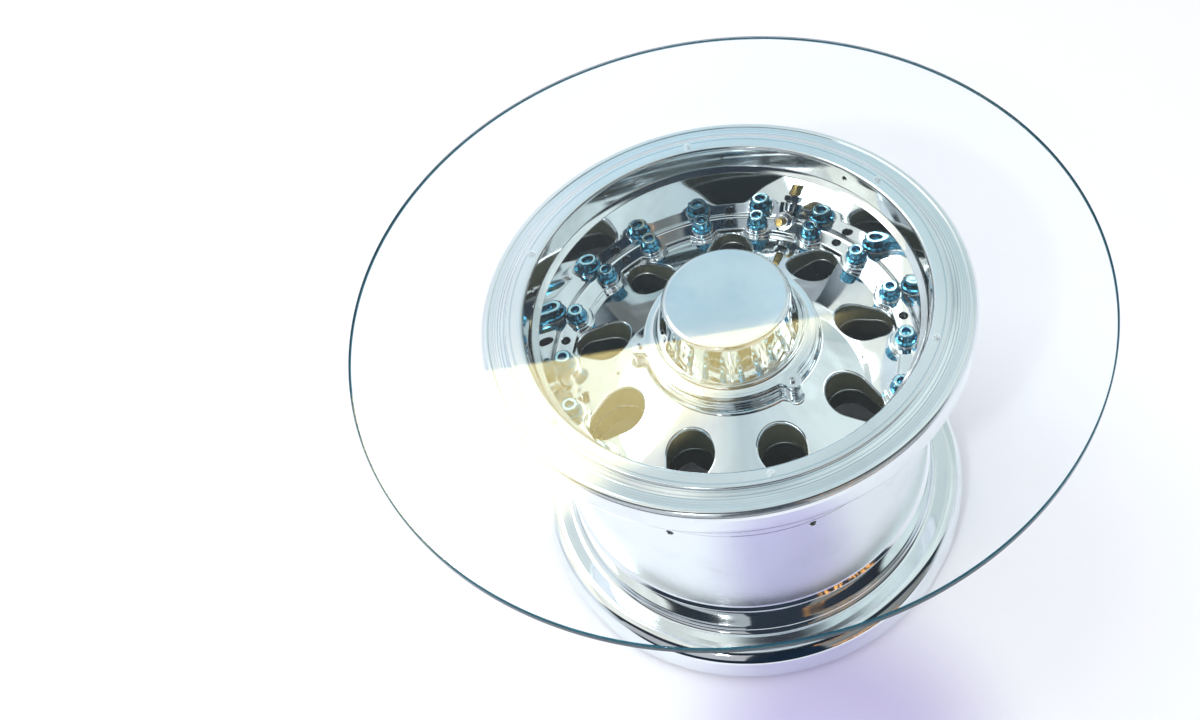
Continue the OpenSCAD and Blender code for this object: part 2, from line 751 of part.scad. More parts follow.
module valve_body() {
    color(polished) at_port(valve_turn) difference() {
        union() {
            port_stub();
            translate([0, 0, port_seal_t]) hexagon(valve_hex_w, valve_hex_h);
            translate([0, 0, port_seal_t]) cylinder(d = valve_stem_d, h = valve_hex_h + valve_stem_l);
        }
        translate([0, 0, valve_floor]) cylinder(d = valve_bore_d, h = valve_bore_l + past);
        translate([0, 0, -port_stub_l - past])
            cylinder(d = valve_pin_d, h = port_stub_l + valve_floor + 2 * past);
    }
}

module valve_seal() {
    color(rubber) at_port(valve_turn) port_seal();
}

module valve_core() {
    color(brass) at_port(valve_turn) translate([0, 0, valve_floor + valve_pin_travel + run_fit])
        ring(valve_bore_d - 2 * fit, valve_pin_d + 2 * fit, valve_core_l);
}

module valve_pin() {
    color(steel) at_port(valve_turn) translate([0, 0, valve_floor + valve_pin_travel + run_fit])
        cylinder(d = valve_pin_d, h = valve_pin_l);
}

module valve_cap() {
    low = port_seal_t + valve_hex_h + valve_cap_lift;
    color(brass) at_port(valve_turn) translate([0, 0, low]) difference() {
        union() {
            cylinder(d = valve_cap_d, h = valve_cap_grip_h);
            cylinder(d = valve_cap_neck_d, h = valve_cap_h - valve_cap_bevel);
            translate([0, 0, valve_cap_h - valve_cap_bevel])
                cylinder(d1 = valve_cap_neck_d, d2 = valve_cap_neck_d - 2 * valve_cap_bevel,
                         h = valve_cap_bevel);
        }
        translate([0, 0, -past])
            cylinder(d = valve_stem_d + 2 * run_fit, h = valve_stem_l - valve_cap_lift + run_fit + past);
    }
}

module fuse_plug(i) {
    color(steel) at_port(fuse_turns[i - 1]) {
        port_stub();
        translate([0, 0, port_seal_t]) difference() {
            hexagon(plug_hex_w, plug_hex_h);
            translate([0, 0, plug_hex_h - fuse_core_l]) cylinder(d = fuse_core_d, h = fuse_core_l + past);
        }
    }
}

module relief_plug() {
    color(steel) at_port(relief_turn) {
        port_stub();
        translate([0, 0, port_seal_t]) hexagon(plug_hex_w, plug_hex_h);
        translate([0, 0, port_seal_t]) difference() {
            cylinder(d = relief_collar_d, h = plug_hex_h + relief_collar_h);
            translate([0, 0, plug_hex_h + relief_collar_h - relief_bore_l])
                cylinder(d = relief_bore_d, h = relief_bore_l + past);
        }
    }
}

module plug_seals() {
    color(rubber) for (direction = concat([relief_turn], fuse_turns)) at_port(direction) port_seal();
}

module drive_key(i) {
    color(steel) rotate([0, 0, (i - 1) * 360 / key_n]) difference() {
        union() {
            translate([key_in, -key_w / 2, key_low])
                cube([key_t, key_w, inner_disc_z - cavity_fillet - key_low]);
            translate([key_in, -key_w / 2, key_low])
                cube([key_t - cavity_fillet, key_w, inner_disc_z - key_low]);
            translate([key_hole_r, 0, inner_disc_z - cavity_fillet])
                cylinder(d = key_hole_d - 2 * fit, h = cavity_fillet + inner_disc_t - key_peg_drop);
        }
        radial(key_screw_z, key_in - past) {
            cylinder(d = key_screw_d + 2 * hole_fit, h = key_t + 2 * past);
            cylinder(d = key_screw_head_d + 2 * hole_fit, h = key_screw_head_h + past);
        }
    }
}

module key_lock_screws() {
    from = key_hole_r + key_hole_d / 2;
    length = well_d / 2 - lock_sunk - from;
    color(steel) round_copies(key_n) radial(joint_z - lock_drop, from) difference() {
        cylinder(d = lock_d - 2 * fit, h = length);
        translate([0, 0, length - lock_socket_l]) hexagon(lock_socket_w, lock_socket_l + past);
    }
}

module key_screws() {
    color(steel) round_copies(key_n) radial(key_screw_z, key_in) {
        difference() {
            cylinder(d = key_screw_head_d, h = key_screw_head_h);
            translate([0, 0, -past]) hexagon(key_socket_w, key_socket_l + past);
        }
        translate([0, 0, key_screw_head_h])
            cylinder(d = key_screw_d, h = key_screw_end - key_in - key_screw_head_h);
    }
}

glass_top();
outer_wheel_half();
inner_wheel_half();
seal_ring();
tie_bolts();
head_washers();
nut_washers();
tie_bolt_nuts();
hubcap();
hubcap_gasket();
hubcap_screws();
screw_inserts();
outer_bearing_cup();
inner_bearing_cup();
valve_body();
valve_seal();
valve_core();
valve_pin();
valve_cap();
relief_plug();
plug_seals();
key_lock_screws();
key_screws();
for (i = [1:bumper_n]) glass_bumper(i);
for (i = [1:len(fuse_turns)]) fuse_plug(i);
for (i = [1:key_n]) drive_key(i);
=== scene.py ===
from math import acos, atan2, cos, pi, radians, sin, tan

import bmesh
import bpy
import numpy as np
from mathutils import Matrix, Vector
from mathutils.bvhtree import BVHTree


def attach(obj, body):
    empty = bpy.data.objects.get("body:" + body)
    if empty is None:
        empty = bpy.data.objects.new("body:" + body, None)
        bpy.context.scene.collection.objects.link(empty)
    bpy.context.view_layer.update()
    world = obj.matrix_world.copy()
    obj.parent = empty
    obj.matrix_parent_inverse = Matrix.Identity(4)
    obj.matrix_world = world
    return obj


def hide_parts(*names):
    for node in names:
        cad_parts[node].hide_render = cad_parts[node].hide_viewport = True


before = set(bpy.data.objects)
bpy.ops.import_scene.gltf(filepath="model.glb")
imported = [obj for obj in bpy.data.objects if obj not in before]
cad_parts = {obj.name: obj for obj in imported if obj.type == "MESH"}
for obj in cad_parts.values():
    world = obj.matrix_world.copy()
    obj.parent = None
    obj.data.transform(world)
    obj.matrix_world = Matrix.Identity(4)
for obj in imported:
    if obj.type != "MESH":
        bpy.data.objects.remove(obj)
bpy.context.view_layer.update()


# The outer wheel half: upper flange, drum down to the joint, dish wall, the land that carries the
# tie bolts, vented disc and eared hub. It is forged aluminium, machined all over and polished to a
# mirror. Sizes are in millimetres, heights over the floor.

MM = 0.001
JOINT_Z, CREST_Z = 304.5, 448.0
LAND_Z, LAND_R = 329.5, 209.0
DISH_R, LEDGE_R, MOUTH_R = 234.0, 242.0, 247.0
LEDGE_Z, DISH_TOP_Z = 419.0, 414.0
HUB_Z, HUB_R = 376.5, 110.0
FACE_HUB_Z, FACE_LAND_Z = 357.5, 322.0
WELL_R = 250.0
PILOT_R, PILOT_W, PILOT_H, FIT = 238.0, 6.0, 6.0, 0.1
BORE_R, OUTER_CUP_R, OUTER_CUP_Z, OUTER_RECESS_R, OUTER_RECESS_Z = 66.0, 75.0, 338.5, 80.0, 368.5
FOOT_FILLET, CROWN_FILLET, HUB_FILLET = 3.0, 2.5, 5.0
SECTORS = 540
PAST = 1.0


class Shade:
    """A socket in a shader. A sum on it adds Math nodes."""

    def __init__(self, tree, socket=None):
        self.tree, self.socket = tree, socket

    def node(self, kind, settings=None, sockets=None, out=0):
        made = self.tree.nodes.new("ShaderNode" + kind)
        for key, value in (settings or {}).items():
            if key == "stops":
                ramp = made.color_ramp
                while len(ramp.elements) < len(value):
                    ramp.elements.new(1.0)
                for stop, (place, colour) in zip(ramp.elements, value):
                    stop.position, stop.color = place, colour
            else:
                setattr(made, key, value)
        for key, value in (sockets or {}).items():
            if isinstance(value, Shade):
                self.tree.links.new(value.socket, made.inputs[key])
            else:
                made.inputs[key].default_value = value
        return Shade(self.tree, made.outputs[out] if made.outputs else None)

    def other(self, name):
        return Shade(self.tree, self.socket.node.outputs[name])

    def sums(self, operation, *values):
        return self.node("Math", {"operation": operation}, dict(enumerate(values)))

    def __add__(self, value):
        return self.sums("ADD", self, value)

    __radd__ = __add__

    def __mul__(self, value):
        return self.sums("MULTIPLY", self, value)

    __rmul__ = __mul__

    def __sub__(self, value):
        return self.sums("SUBTRACT", self, value)

    def __rsub__(self, value):
        return self.sums("SUBTRACT", value, self)

    def __truediv__(self, value):
        return self.sums("DIVIDE", self, value)

    def far_from(self, value):
        return self.sums("ABSOLUTE", self - value)

    def fade(self, low, high, start=0.0, end=1.0):
        """Start below low, end above high, and smooth between."""
        return self.node("MapRange", {"interpolation_type": "SMOOTHSTEP"},
                         {"Value": self, "From Min": low, "From Max": high, "To Min": start, "To Max": end})

    def noise(self, scale, detail, rough=0.5):
        """Noise at this place."""
        return self.node("TexNoise", {}, {"Vector": self, "Scale": scale, "Detail": detail, "Roughness": rough})

    def bump(self, strength, distance):
        """The normal of a surface with this height."""
        return self.node("Bump", {}, {"Strength": strength, "Distance": distance, "Height": self})

    def tint(self, low, high):
        """Mixes two colours, or two sockets that give them, by this value."""
        return self.node("Mix", {"data_type": "RGBA"}, {0: self, 6: low, 7: high}, out=2)


def rgb(red, green, blue):
    return (red, green, blue, 1.0)


def finish(name, build):
    """A material whose shader takes the values and links that build gives for its sockets."""
    material = bpy.data.materials.new(name)
    material.use_nodes = True
    material.node_tree.nodes.clear()
    start = Shade(material.node_tree)
    shader = start.node("BsdfPrincipled", {}, build(start))
    start.node("OutputMaterial", {}, {"Surface": shader})
    return material


def lathe_place(start):
    """Place on a turned piece, its distance from the axis and its height."""
    place = start.node("TexCoord", {}, {}, out="Object")
    split = place.node("SeparateXYZ", {}, {0: place})
    x, y, z = split, split.other("Y"), split.other("Z")
    radius = start.sums("SQRT", x * x + y * y)
    return place, radius, z


def mirror_metal(name, colour, haze, marks):
    """Turned and polished metal: fine lathe marks, faint waves, wiped smears."""
    def build(start):
        place, radius, height = lathe_place(start)
        lathe = start.node("CombineXYZ", {}, {"X": radius, "Y": height, "Z": 0.0})
        rings = lathe.noise(900.0, 2.0)
        waves = place.noise(22.0, 1.5)
        smears = place.noise(14.0, 6.0, 0.65)
        streaks = lathe.noise(300.0, 4.0, 0.6)
        wiped = smears.fade(0.48, 0.72)
        drum = radius.fade(0.2485, 0.2496) * height.fade(0.112, 0.118) * height.fade(0.303, 0.299)
        crest = radius.fade(0.2525, 0.254) * height.fade(0.4410, 0.4416)
        dull = tuple(part * 0.93 for part in colour[:3]) + (1.0,)
        turned = tuple(part * share for part, share in zip(colour[:3], (0.62, 0.70, 0.76))) + (1.0,)
        shape = rings * marks + waves * 0.55
        return {
            "Base Color": (streaks.fade(0.50, 0.66) * crest).tint(wiped.tint(colour, dull), turned),
            "Metallic": 1.0,
            "Roughness": haze + wiped * 0.05 + rings * 0.02 + drum * 0.17 + crest * 0.05,
            "Normal": shape.bump(0.09, 0.001),
        }
    return finish(name, build)


polished_aluminium = mirror_metal("polished_aluminium", rgb(0.86, 0.905, 0.925), 0.035, 0.05)


def arc(x, y, radius, start, end, steps):
    """Points of an arc in a section, with the angles in degrees."""
    turns = [radians(start + (end - start) * i / steps) for i in range(steps + 1)]
    return [(x + radius * cos(t), y + radius * sin(t)) for t in turns]


def solid(name, points, faces):
    """A piece from points in millimetres."""
    mesh = bpy.data.meshes.new(name)
    mesh.from_pydata((np.asarray(points, float) * MM).tolist(), [], faces)
    piece = bpy.data.objects.new(name, mesh)
    bpy.context.scene.collection.objects.link(piece)
    form = bmesh.new()
    form.from_mesh(mesh)
    bmesh.ops.remove_doubles(form, verts=form.verts, dist=1e-6)
    form.to_mesh(mesh)
    form.free()
    return piece


def lofted(name, rings, places=(Matrix.Identity(4),), sectors=SECTORS, closed=True):
    """Rings round an axis, joined into one skin. A ring is a radius and a height, plain or per
    sector. An open row of rings starts and ends on the axis."""
    around = lambda value: np.broadcast_to(np.asarray(value, float), (sectors,))
    turns = np.arange(sectors) * 2 * pi / sectors
    radius = np.array([around(r) for r, z in rings])
    height = np.array([around(z) for r, z in rings])
    points = np.stack([radius * np.cos(turns), radius * np.sin(turns), height], -1).reshape(-1, 3)
    count = len(rings)
    rows = np.arange(count if closed else count - 1)
    i, j = np.meshgrid(rows, np.arange(sectors), indexing="ij")
    k, m = (i + 1) % count, (j + 1) % sectors
    quads = np.stack([i * sectors + j, i * sectors + m, k * sectors + m, k * sectors + j], -1).reshape(-1, 4)
    all_points, all_faces = [], []
    for number, place in enumerate(places):
        spin = np.array(place.to_3x3())
        all_points.append(points @ spin.T + np.array(place.translation))
        all_faces.append(quads + number * len(points))
    return solid(name, np.concatenate(all_points), np.concatenate(all_faces).tolist())


def moved(x, y, z, turn=0.0):
    """A place at x, y, z and then turned round the wheel's axis, in degrees."""
    return Matrix.Rotation(radians(turn), 4, "Z") @ Matrix.Translation((x, y, z))


def spread(count, x, z, first=0.0):
    return [moved(x, 0, z, first + 360.0 * i / count) for i in range(count)]


def rounded(piece, crease=32.0):
    """Smooth shading in which the large faces keep their own direction up to their fillets."""
    piece.data.shade_smooth()
    piece.data.set_sharp_from_angle(angle=radians(crease))
    even = piece.modifiers.new("even", "WEIGHTED_NORMAL")
    even.keep_sharp, even.weight = True, 50
    now = piece.evaluated_get(bpy.context.evaluated_depsgraph_get())
    mesh = bpy.data.meshes.new_from_object(now)
    piece.modifiers.remove(even)
    piece.data = mesh


def numbers_of(items, name, kind, width=1):
    values = np.zeros(len(items) * width, kind)
    items.foreach_get(name, values)
    return values.reshape(-1, width) if width > 1 else values


def skin_of(piece):
    """Corners of a piece's triangles, and the normals there."""
    mesh = piece.data
    mesh.calc_loop_triangles()
    places = numbers_of(mesh.vertices, "co", np.float32, 3)
    normals = numbers_of(mesh.corner_normals, "vector", np.float32, 3)
    return (places[numbers_of(mesh.loop_triangles, "vertices", np.int32, 3)],
            normals[numbers_of(mesh.loop_triangles, "loops", np.int32, 3)])


def carve(piece, tool, operation="DIFFERENCE"):
    """Cuts a piece with a tool, or joins the two."""
    cut = piece.modifiers.new("cut", "BOOLEAN")
    cut.object, cut.operation, cut.solver = tool, operation, "MANIFOLD"
    now = piece.evaluated_get(bpy.context.evaluated_depsgraph_get())
    mesh = bpy.data.meshes.new_from_object(now)
    piece.modifiers.remove(cut)
    piece.data = mesh


def machined(piece, cuts=(), joins=()):
    """Joins and cuts a piece, then gives every corner the normal of the whole surface it lies on,
    so that a mirror finish shows no dents where faces were cut up."""
    near, shown = [], []
    for form, side in [(piece, 1)] + [(j, 1) for j in joins] + [(c, -1) for c in cuts]:
        rounded(form)
        places, corners = skin_of(form)
        near.append(places)
        shown.append(corners * side)
    near, shown = np.concatenate(near), np.concatenate(shown)
    flat = np.cross(near[:, 1] - near[:, 0], near[:, 2] - near[:, 0])
    flat /= np.maximum(np.linalg.norm(flat, axis=1, keepdims=True), 1e-20)
    flat *= np.where(np.einsum("ij,ij->i", flat, shown.mean(1)) < 0, -1, 1)[:, None]
    tree = BVHTree.FromPolygons(near.reshape(-1, 3).tolist(),
                                np.arange(len(near) * 3).reshape(-1, 3).tolist(), all_triangles=True)
    for join in joins:
        carve(piece, join, "UNION")
    for cut in cuts:
        carve(piece, cut)
    mesh = piece.data
    mesh.calc_loop_triangles()
    places = numbers_of(mesh.vertices, "co", np.float32, 3)
    corners = numbers_of(mesh.loop_triangles, "vertices", np.int32, 3)
    loops = numbers_of(mesh.loop_triangles, "loops", np.int32, 3).ravel()
    points = places[corners].astype(float)
    facing = np.cross(points[:, 1] - points[:, 0], points[:, 2] - points[:, 0])
    facing /= np.maximum(np.linalg.norm(facing, axis=1, keepdims=True), 1e-20)
    inside = points + (points.mean(1, keepdims=True) - points) * 0.05
    inside, points, facing = inside.reshape(-1, 3), points.reshape(-1, 3), np.repeat(facing, 3, axis=0)
    first, order = np.unique(loops, return_index=True)
    found = np.full(len(order), -1)
    facing, inside, points = facing[order], inside[order], points[order]
    for row, place in enumerate(inside.tolist()):
        index = tree.find_nearest(place)[2]
        if index is not None and flat[index] @ facing[row] > 0.98:
            found[row] = index
            continue
        close = [(gap, other) for _, _, other, gap in tree.find_nearest_range(place, 0.0002)
                 if flat[other] @ facing[row] > 0.98]
        if close:
            found[row] = min(close)[1]
    kept = found >= 0
    index, points, first = found[kept], points[kept], first[kept]
    one = (near[index, 1] - near[index, 0]).astype(float)
    two = (near[index, 2] - near[index, 0]).astype(float)
    off = points - near[index, 0]
    dot = lambda a, b: np.einsum("ij,ij->i", a, b)
    d11, d12, d22, p1, p2 = dot(one, one), dot(one, two), dot(two, two), dot(off, one), dot(off, two)
    base = np.maximum(d11 * d22 - d12 * d12, 1e-30)
    v = np.clip((d22 * p1 - d12 * p2) / base, 0, 1)[:, None]
    w = np.clip((d11 * p2 - d12 * p1) / base, 0, 1)[:, None]
    shades = shown[index, 0] * (1 - v - w) + shown[index, 1] * v + shown[index, 2] * w
    mesh.shade_smooth()
    mesh.set_sharp_from_angle(angle=radians(32.0))
    normals = numbers_of(mesh.corner_normals, "vector", np.float32, 3)
    normals[first] = shades / np.maximum(np.linalg.norm(shades, axis=1, keepdims=True), 1e-9)
    for tool in list(joins) + list(cuts):
        bpy.data.objects.remove(tool)
    mesh.normals_split_custom_set(normals.tolist())


def fitted(piece, body, nodes, slot, *materials):
    """Puts a piece in the place of CAD nodes."""
    piece.data.materials.clear()
    for material in materials:
        piece.data.materials.append(material)
    piece.data.polygons.foreach_set("material_index", np.zeros(len(piece.data.polygons), np.int32))
    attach(piece, body)
    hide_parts(*nodes)


TURNS = np.arange(SECTORS) * 2 * pi / SECTORS


def angle_from(direction):
    """Signed angle of every sector from a direction in degrees."""
    return (TURNS - radians(direction) + pi) % (2 * pi) - pi


EAR_AT, EAR_R, EAR_BLEND = 114.5, 10.5, 10.0
EARS = (60, 180, 300)


def ear_outline(base):
    """Radius of a disc with three blended ears."""
    near, far = base + EAR_BLEND, EAR_R + EAR_BLEND
    swing = acos((near ** 2 + EAR_AT ** 2 - far ** 2) / (2 * near * EAR_AT))
    touch_x = EAR_AT + (near * cos(swing) - EAR_AT) * EAR_R / far
    touch_y = near * sin(swing) * EAR_R / far
    meet = atan2(touch_y, touch_x)
    out = np.full(SECTORS, float(base))
    for direction in EARS:
        off = np.abs(angle_from(direction))
        ear = EAR_AT * np.cos(off) + np.sqrt(np.maximum(EAR_R ** 2 - (EAR_AT * np.sin(off)) ** 2, 0))
        side = off - swing
        blend = near * np.cos(side) - np.sqrt(np.maximum(EAR_BLEND ** 2 - (near * np.sin(side)) ** 2, 0))
        out = np.where(off < meet, ear, np.where(off < swing, blend, out))
    return out


BOLTS, BOLT_FIRST, BOLT_R, BOSS_R, BOSS_BLEND = 18, 10, 218.5, 20.0, 5.0


def land_edge():
    """Radius of the inner edge of the land, which bulges in round each bolt."""
    edge = np.full(SECTORS, LAND_R)
    for i in range(BOLTS):
        off = angle_from(BOLT_FIRST + 360.0 * i / BOLTS)
        reach = np.maximum(BOSS_R ** 2 - (BOLT_R * np.sin(off)) ** 2, 0)
        boss = np.where(reach > 0, BOLT_R * np.cos(off) - np.sqrt(reach), BOLT_R)
        mix = np.clip(0.5 + 0.5 * (edge - boss) / BOSS_BLEND, 0, 1)
        blended = edge * (1 - mix) + boss * mix - BOSS_BLEND * mix * (1 - mix)
        edge = np.where(np.abs(off) < radians(8), blended, edge)
    return edge


def face_z(radius):
    """Height of the sloping face of the disc."""
    slope = (FACE_LAND_Z - FACE_HUB_Z) / (LAND_R - HUB_R + PAST)
    return FACE_HUB_Z + (radius - HUB_R + PAST) * slope


hub_edge = ear_outline(HUB_R)
step = land_edge()
step_high = LAND_Z - face_z(step)
foot = np.minimum(FOOT_FILLET, 0.45 * step_high)
crown = np.minimum(CROWN_FILLET, 0.45 * step_high)
WALL_TURN = radians(78)


def disc_rings():
    """The face of the disc from the hub out to the land, with the fillets at both ends of it."""
    rings = []
    for turn in np.radians(np.linspace(0, 90, 9)):
        r = hub_edge + HUB_FILLET * (1 - np.cos(turn))
        rings.append((r, face_z(r) + HUB_FILLET * (1 - np.sin(turn))))
    low, high = hub_edge + HUB_FILLET, step - foot
    for share in np.linspace(0, 1, 9)[1:-1]:
        r = low + (high - low) * share
        rings.append((r, face_z(r)))
    for turn in np.linspace(0, WALL_TURN, 8):
        r = step - foot + foot * np.sin(turn)
        rings.append((r, face_z(r) + foot * (1 - np.cos(turn))))
    wall_low = face_z(step) + foot * (1 - cos(WALL_TURN))
    wall_high = LAND_Z - crown * (1 - cos(WALL_TURN))
    wall = step - foot * (1 - sin(WALL_TURN)) + (wall_high - wall_low) / tan(WALL_TURN)
    for turn in np.linspace(WALL_TURN, 0, 8):
        r = wall + crown * (sin(WALL_TURN) - np.sin(turn))
        rings.append((r, LAND_Z - crown * (1 - np.cos(turn))))
    return rings


def flange_skin(taper):
    """Radius and drop from the crest: mouth, crest, marking band, lip, shoulder, heel, seat, well."""
    return ([(MOUTH_R - 0.4 * taper, 14.0), (MOUTH_R - 0.04 * taper, 5.0)]
            + arc(251.0, 4.0, 4.0, 180, 270, 8)
            + [(258.0, 0.0), (264.0, 0.0)] + arc(266.5, 2.5, 2.5, -90, 0, 6)
            + [(269.5, 2.8), (277.9, 5.85), (278.5, 6.0), (284.5, 6.0), (289.9, 6.0), (290.4, 5.6),
               (290.6, 4.9)]
            + arc(291.5, 14.5, 10.0, -90, 0, 18)
            + [(301.5, 24.0)] + arc(279.5, 34.0, 22.0, 0, 90, 20)
            + [(272.0, 56.0)] + arc(266.0, 65.0, 9.0, -90, -180, 14)
            + [(255.93, 80.0), (254.1, 106.4), (253.7, 107.3), (250.3, 111.6), (250.0, 112.5)])


above_land = DISH_R - 6.0
outer_rings = (
    [(OUTER_RECESS_R, HUB_Z - 0.5), (OUTER_RECESS_R, OUTER_RECESS_Z), (OUTER_CUP_R, OUTER_RECESS_Z),
     (OUTER_CUP_R, OUTER_CUP_Z), (BORE_R, OUTER_CUP_Z), (BORE_R, JOINT_Z),
     (PILOT_R - PILOT_W - FIT, JOINT_Z), (PILOT_R - PILOT_W - FIT, JOINT_Z + PILOT_H + FIT),
     (PILOT_R + FIT, JOINT_Z + PILOT_H + FIT), (PILOT_R + FIT, JOINT_Z + 7.17),
     (PILOT_R + 7.27, JOINT_Z), (WELL_R - 0.5, JOINT_Z), (WELL_R, JOINT_Z + 0.5),
     (WELL_R, 321.0), (WELL_R - 0.5, 321.4), (WELL_R - 0.5, 322.4), (WELL_R, 322.8)]
    + [(r, CREST_Z - drop) for r, drop in flange_skin(MOUTH_R - LEDGE_R)[::-1]]
    + [(LEDGE_R + 0.2, LEDGE_Z + 1.0), (LEDGE_R, LEDGE_Z + 0.3), (LEDGE_R - 0.6, LEDGE_Z - 0.4),
       (DISH_R + 4.0, DISH_TOP_Z + 2.3), (DISH_R + 0.8, DISH_TOP_Z + 0.5), (DISH_R + 0.2, DISH_TOP_Z),
       (DISH_R, DISH_TOP_Z - 0.8), (DISH_R, 376.0)]
    + [(r, -y) for r, y in arc(above_land, -LAND_Z - 6.0, 6.0, 0, 90, 10)]
    + [(LAND_R + 12.0, LAND_Z)]
    + disc_rings()[::-1]
    + [(hub_edge - deep, HUB_Z - low)
       for low, deep in ((11.6, 0), (11.2, 0.9), (9.8, 0.9), (9.4, 0), (6.4, 0), (6.0, 0.9), (4.6, 0.9),
                         (4.2, 0), (1.5, 0))]
    + [(hub_edge - 1.5 * (1 - cos(radians(t))), HUB_Z - 1.5 * (1 - sin(radians(t)))) for t in (30, 60, 90)]
    + [(98.0, HUB_Z), (OUTER_RECESS_R + 0.5, HUB_Z)])

outer_half = lofted("outer_half", outer_rings)

VENTS, VENT_HUB_R, VENT_TIP_R = 9, 29.0, 22.0
VENT_HUB_AT, VENT_TIP_AT = 163.0, 185.5
VENT_LIP, JOINT_CHAMFER = 3.4, 0.5


def vent_outline(steps=40):
    """Outline of a vent on +X as x, y and its outward direction."""
    lean = acos((VENT_HUB_R - VENT_TIP_R) / (VENT_TIP_AT - VENT_HUB_AT))
    turns = ([(VENT_TIP_AT, VENT_TIP_R, t) for t in np.linspace(-lean, lean, steps)]
             + [(VENT_HUB_AT, VENT_HUB_R, t) for t in np.linspace(lean, 2 * pi - lean, steps)])
    return np.array([(x + r * cos(t), r * sin(t), cos(t), sin(t)) for x, r, t in turns])


def disc_top(x, y):
    """Height of the disc's face at a point, with the fillet at the foot of the land."""
    r = np.hypot(x, y)
    sector = np.round(np.arctan2(y, x) / (2 * pi / SECTORS)).astype(int) % SECTORS
    into = np.clip(r - (step - foot)[sector], 0, foot[sector])
    rise = foot[sector] - np.sqrt(np.maximum(foot[sector] ** 2 - into ** 2, 0))
    return face_z(r) + rise


def vent_tool(name, levels):
    """A cutter through all vents. Each level gives the outline's growth and its height."""
    outline = vent_outline()
    count = len(outline)
    layers = []
    for grow, height in levels:
        x = outline[:, 0] + outline[:, 2] * grow
        y = outline[:, 1] + outline[:, 3] * grow
        z = height(x, y) if callable(height) else np.full(count, float(height))
        layers.append(np.stack([x, y, z], -1))
    points, faces = [], []
    for vent in range(VENTS):
        spin = np.array(Matrix.Rotation(2 * pi * vent / VENTS, 3, "Z"))
        start = vent * count * len(levels)
        for layer in layers:
            points.append(layer @ spin.T)
        for low in range(len(levels) - 1):
            for j in range(count):
                m = (j + 1) % count
                a, b = start + low * count, start + (low + 1) * count
                faces.append((a + j, a + m, b + m, b + j))
        faces.append([start + j for j in range(count)][::-1])
        faces.append([start + (len(levels) - 1) * count + j for j in range(count)])
    return solid(name, np.concatenate(points), faces)


outline = vent_outline()
out_r = np.hypot(outline[:, 0], outline[:, 1])
ahead = (outline[:, 0] * outline[:, 2] + outline[:, 1] * outline[:, 3]) / out_r
sector = np.round(np.arctan2(outline[:, 1], outline[:, 0]) / (2 * pi / SECTORS)).astype(int) % SECTORS
room = (step[sector] - out_r) / np.maximum(ahead, 0.25)
lip = np.where(ahead > 0, np.clip(room * 0.75, 1.0, VENT_LIP), VENT_LIP)
for _ in range(6):
    lip = (np.roll(lip, 1) + lip + np.roll(lip, -1)) / 3
levels = [(JOINT_CHAMFER + 2.0, JOINT_Z - 2.0), (0.0, JOINT_Z + JOINT_CHAMFER)]
for turn in np.radians(np.linspace(0, 82, 9)):
    levels.append((lip * (1 - cos(turn)),
                   lambda x, y, turn=turn: disc_top(x, y) - lip * (1 - sin(turn))))
levels.append((lip * 1.25, lambda x, y: disc_top(x, y) + 14.0))
vent_cut = vent_tool("vent_cut", levels)

SPOT_Z, SPOT_R, BOLT_HOLE_R = 328.5, 15.3, 8.25
bolt_cut = lofted("bolt_cut", [(0, -30), (BOLT_HOLE_R, -30), (BOLT_HOLE_R, 0), (SPOT_R, 0), (SPOT_R, 0.8),
                               (SPOT_R + 0.15, 1.0), (SPOT_R + 0.15, 9.0), (0, 9.0)],
                  spread(BOLTS, BOLT_R, SPOT_Z, BOLT_FIRST), 64, closed=False)
KEY_HOLE_AT, KEY_HOLE_R = 222.5, 6.0
key_hole_cut = lofted("key_hole_cut", [(0, -30), (KEY_HOLE_R, -30), (KEY_HOLE_R, -0.5),
                                       (KEY_HOLE_R + 0.8, 0.3), (KEY_HOLE_R + 0.8, 3.0), (0, 3.0)],
                      spread(9, KEY_HOLE_AT, LAND_Z), 48, closed=False)
BALANCE_Z, BALANCE_R = 434.0, 3.0
lay_out = Matrix.Rotation(pi / 2, 4, "Y")
balance_cut = lofted("balance_cut", [(0, 0), (BALANCE_R + 2.6, 0), (BALANCE_R, 3.9), (BALANCE_R, 15.0),
                                     (0, 17.0)],
                     [p @ lay_out for p in spread(9, LEDGE_R, BALANCE_Z)], 40, closed=False)
INSERT_R = 4.1
ear_cut = lofted("ear_cut", [(0, -18), (INSERT_R, -18), (INSERT_R, -0.4), (INSERT_R + 0.8, 0.4), (0, 0.4)],
                 spread(3, EAR_AT, HUB_Z, EARS[0]), 40, closed=False)

PORT_AT, PORT_Z, PORT_SLOPE = 217.0, 344.0, 42.0
VALVE_TURN, FUSE_TURNS, RELIEF_TURN = 60, (180, 300), 260


def port(direction):
    """Place of a fitting: its own z axis points up and towards the hub."""
    return moved(PORT_AT, 0, PORT_Z, direction) @ Matrix.Rotation(radians(PORT_SLOPE - 90), 4, "Y")


ports = [port(turn) for turn in (VALVE_TURN, RELIEF_TURN) + FUSE_TURNS]
port_boss = lofted("port_boss", [(0, -22.0), (13.0, -22.0), (13.0, -0.8), (12.2, 0.0), (0, 0.0)],
                   ports, 96, closed=False)
port_cut = lofted("port_cut", [(0, -46.0), (1.5, -46.0), (1.5, -21.0), (5.0, -21.0), (5.0, 1.0), (0, 1.0)],
                  ports, 48, closed=False)
machined(outer_half, cuts=[vent_cut, bolt_cut, key_hole_cut, balance_cut, ear_cut, port_cut],
         joins=[port_boss])


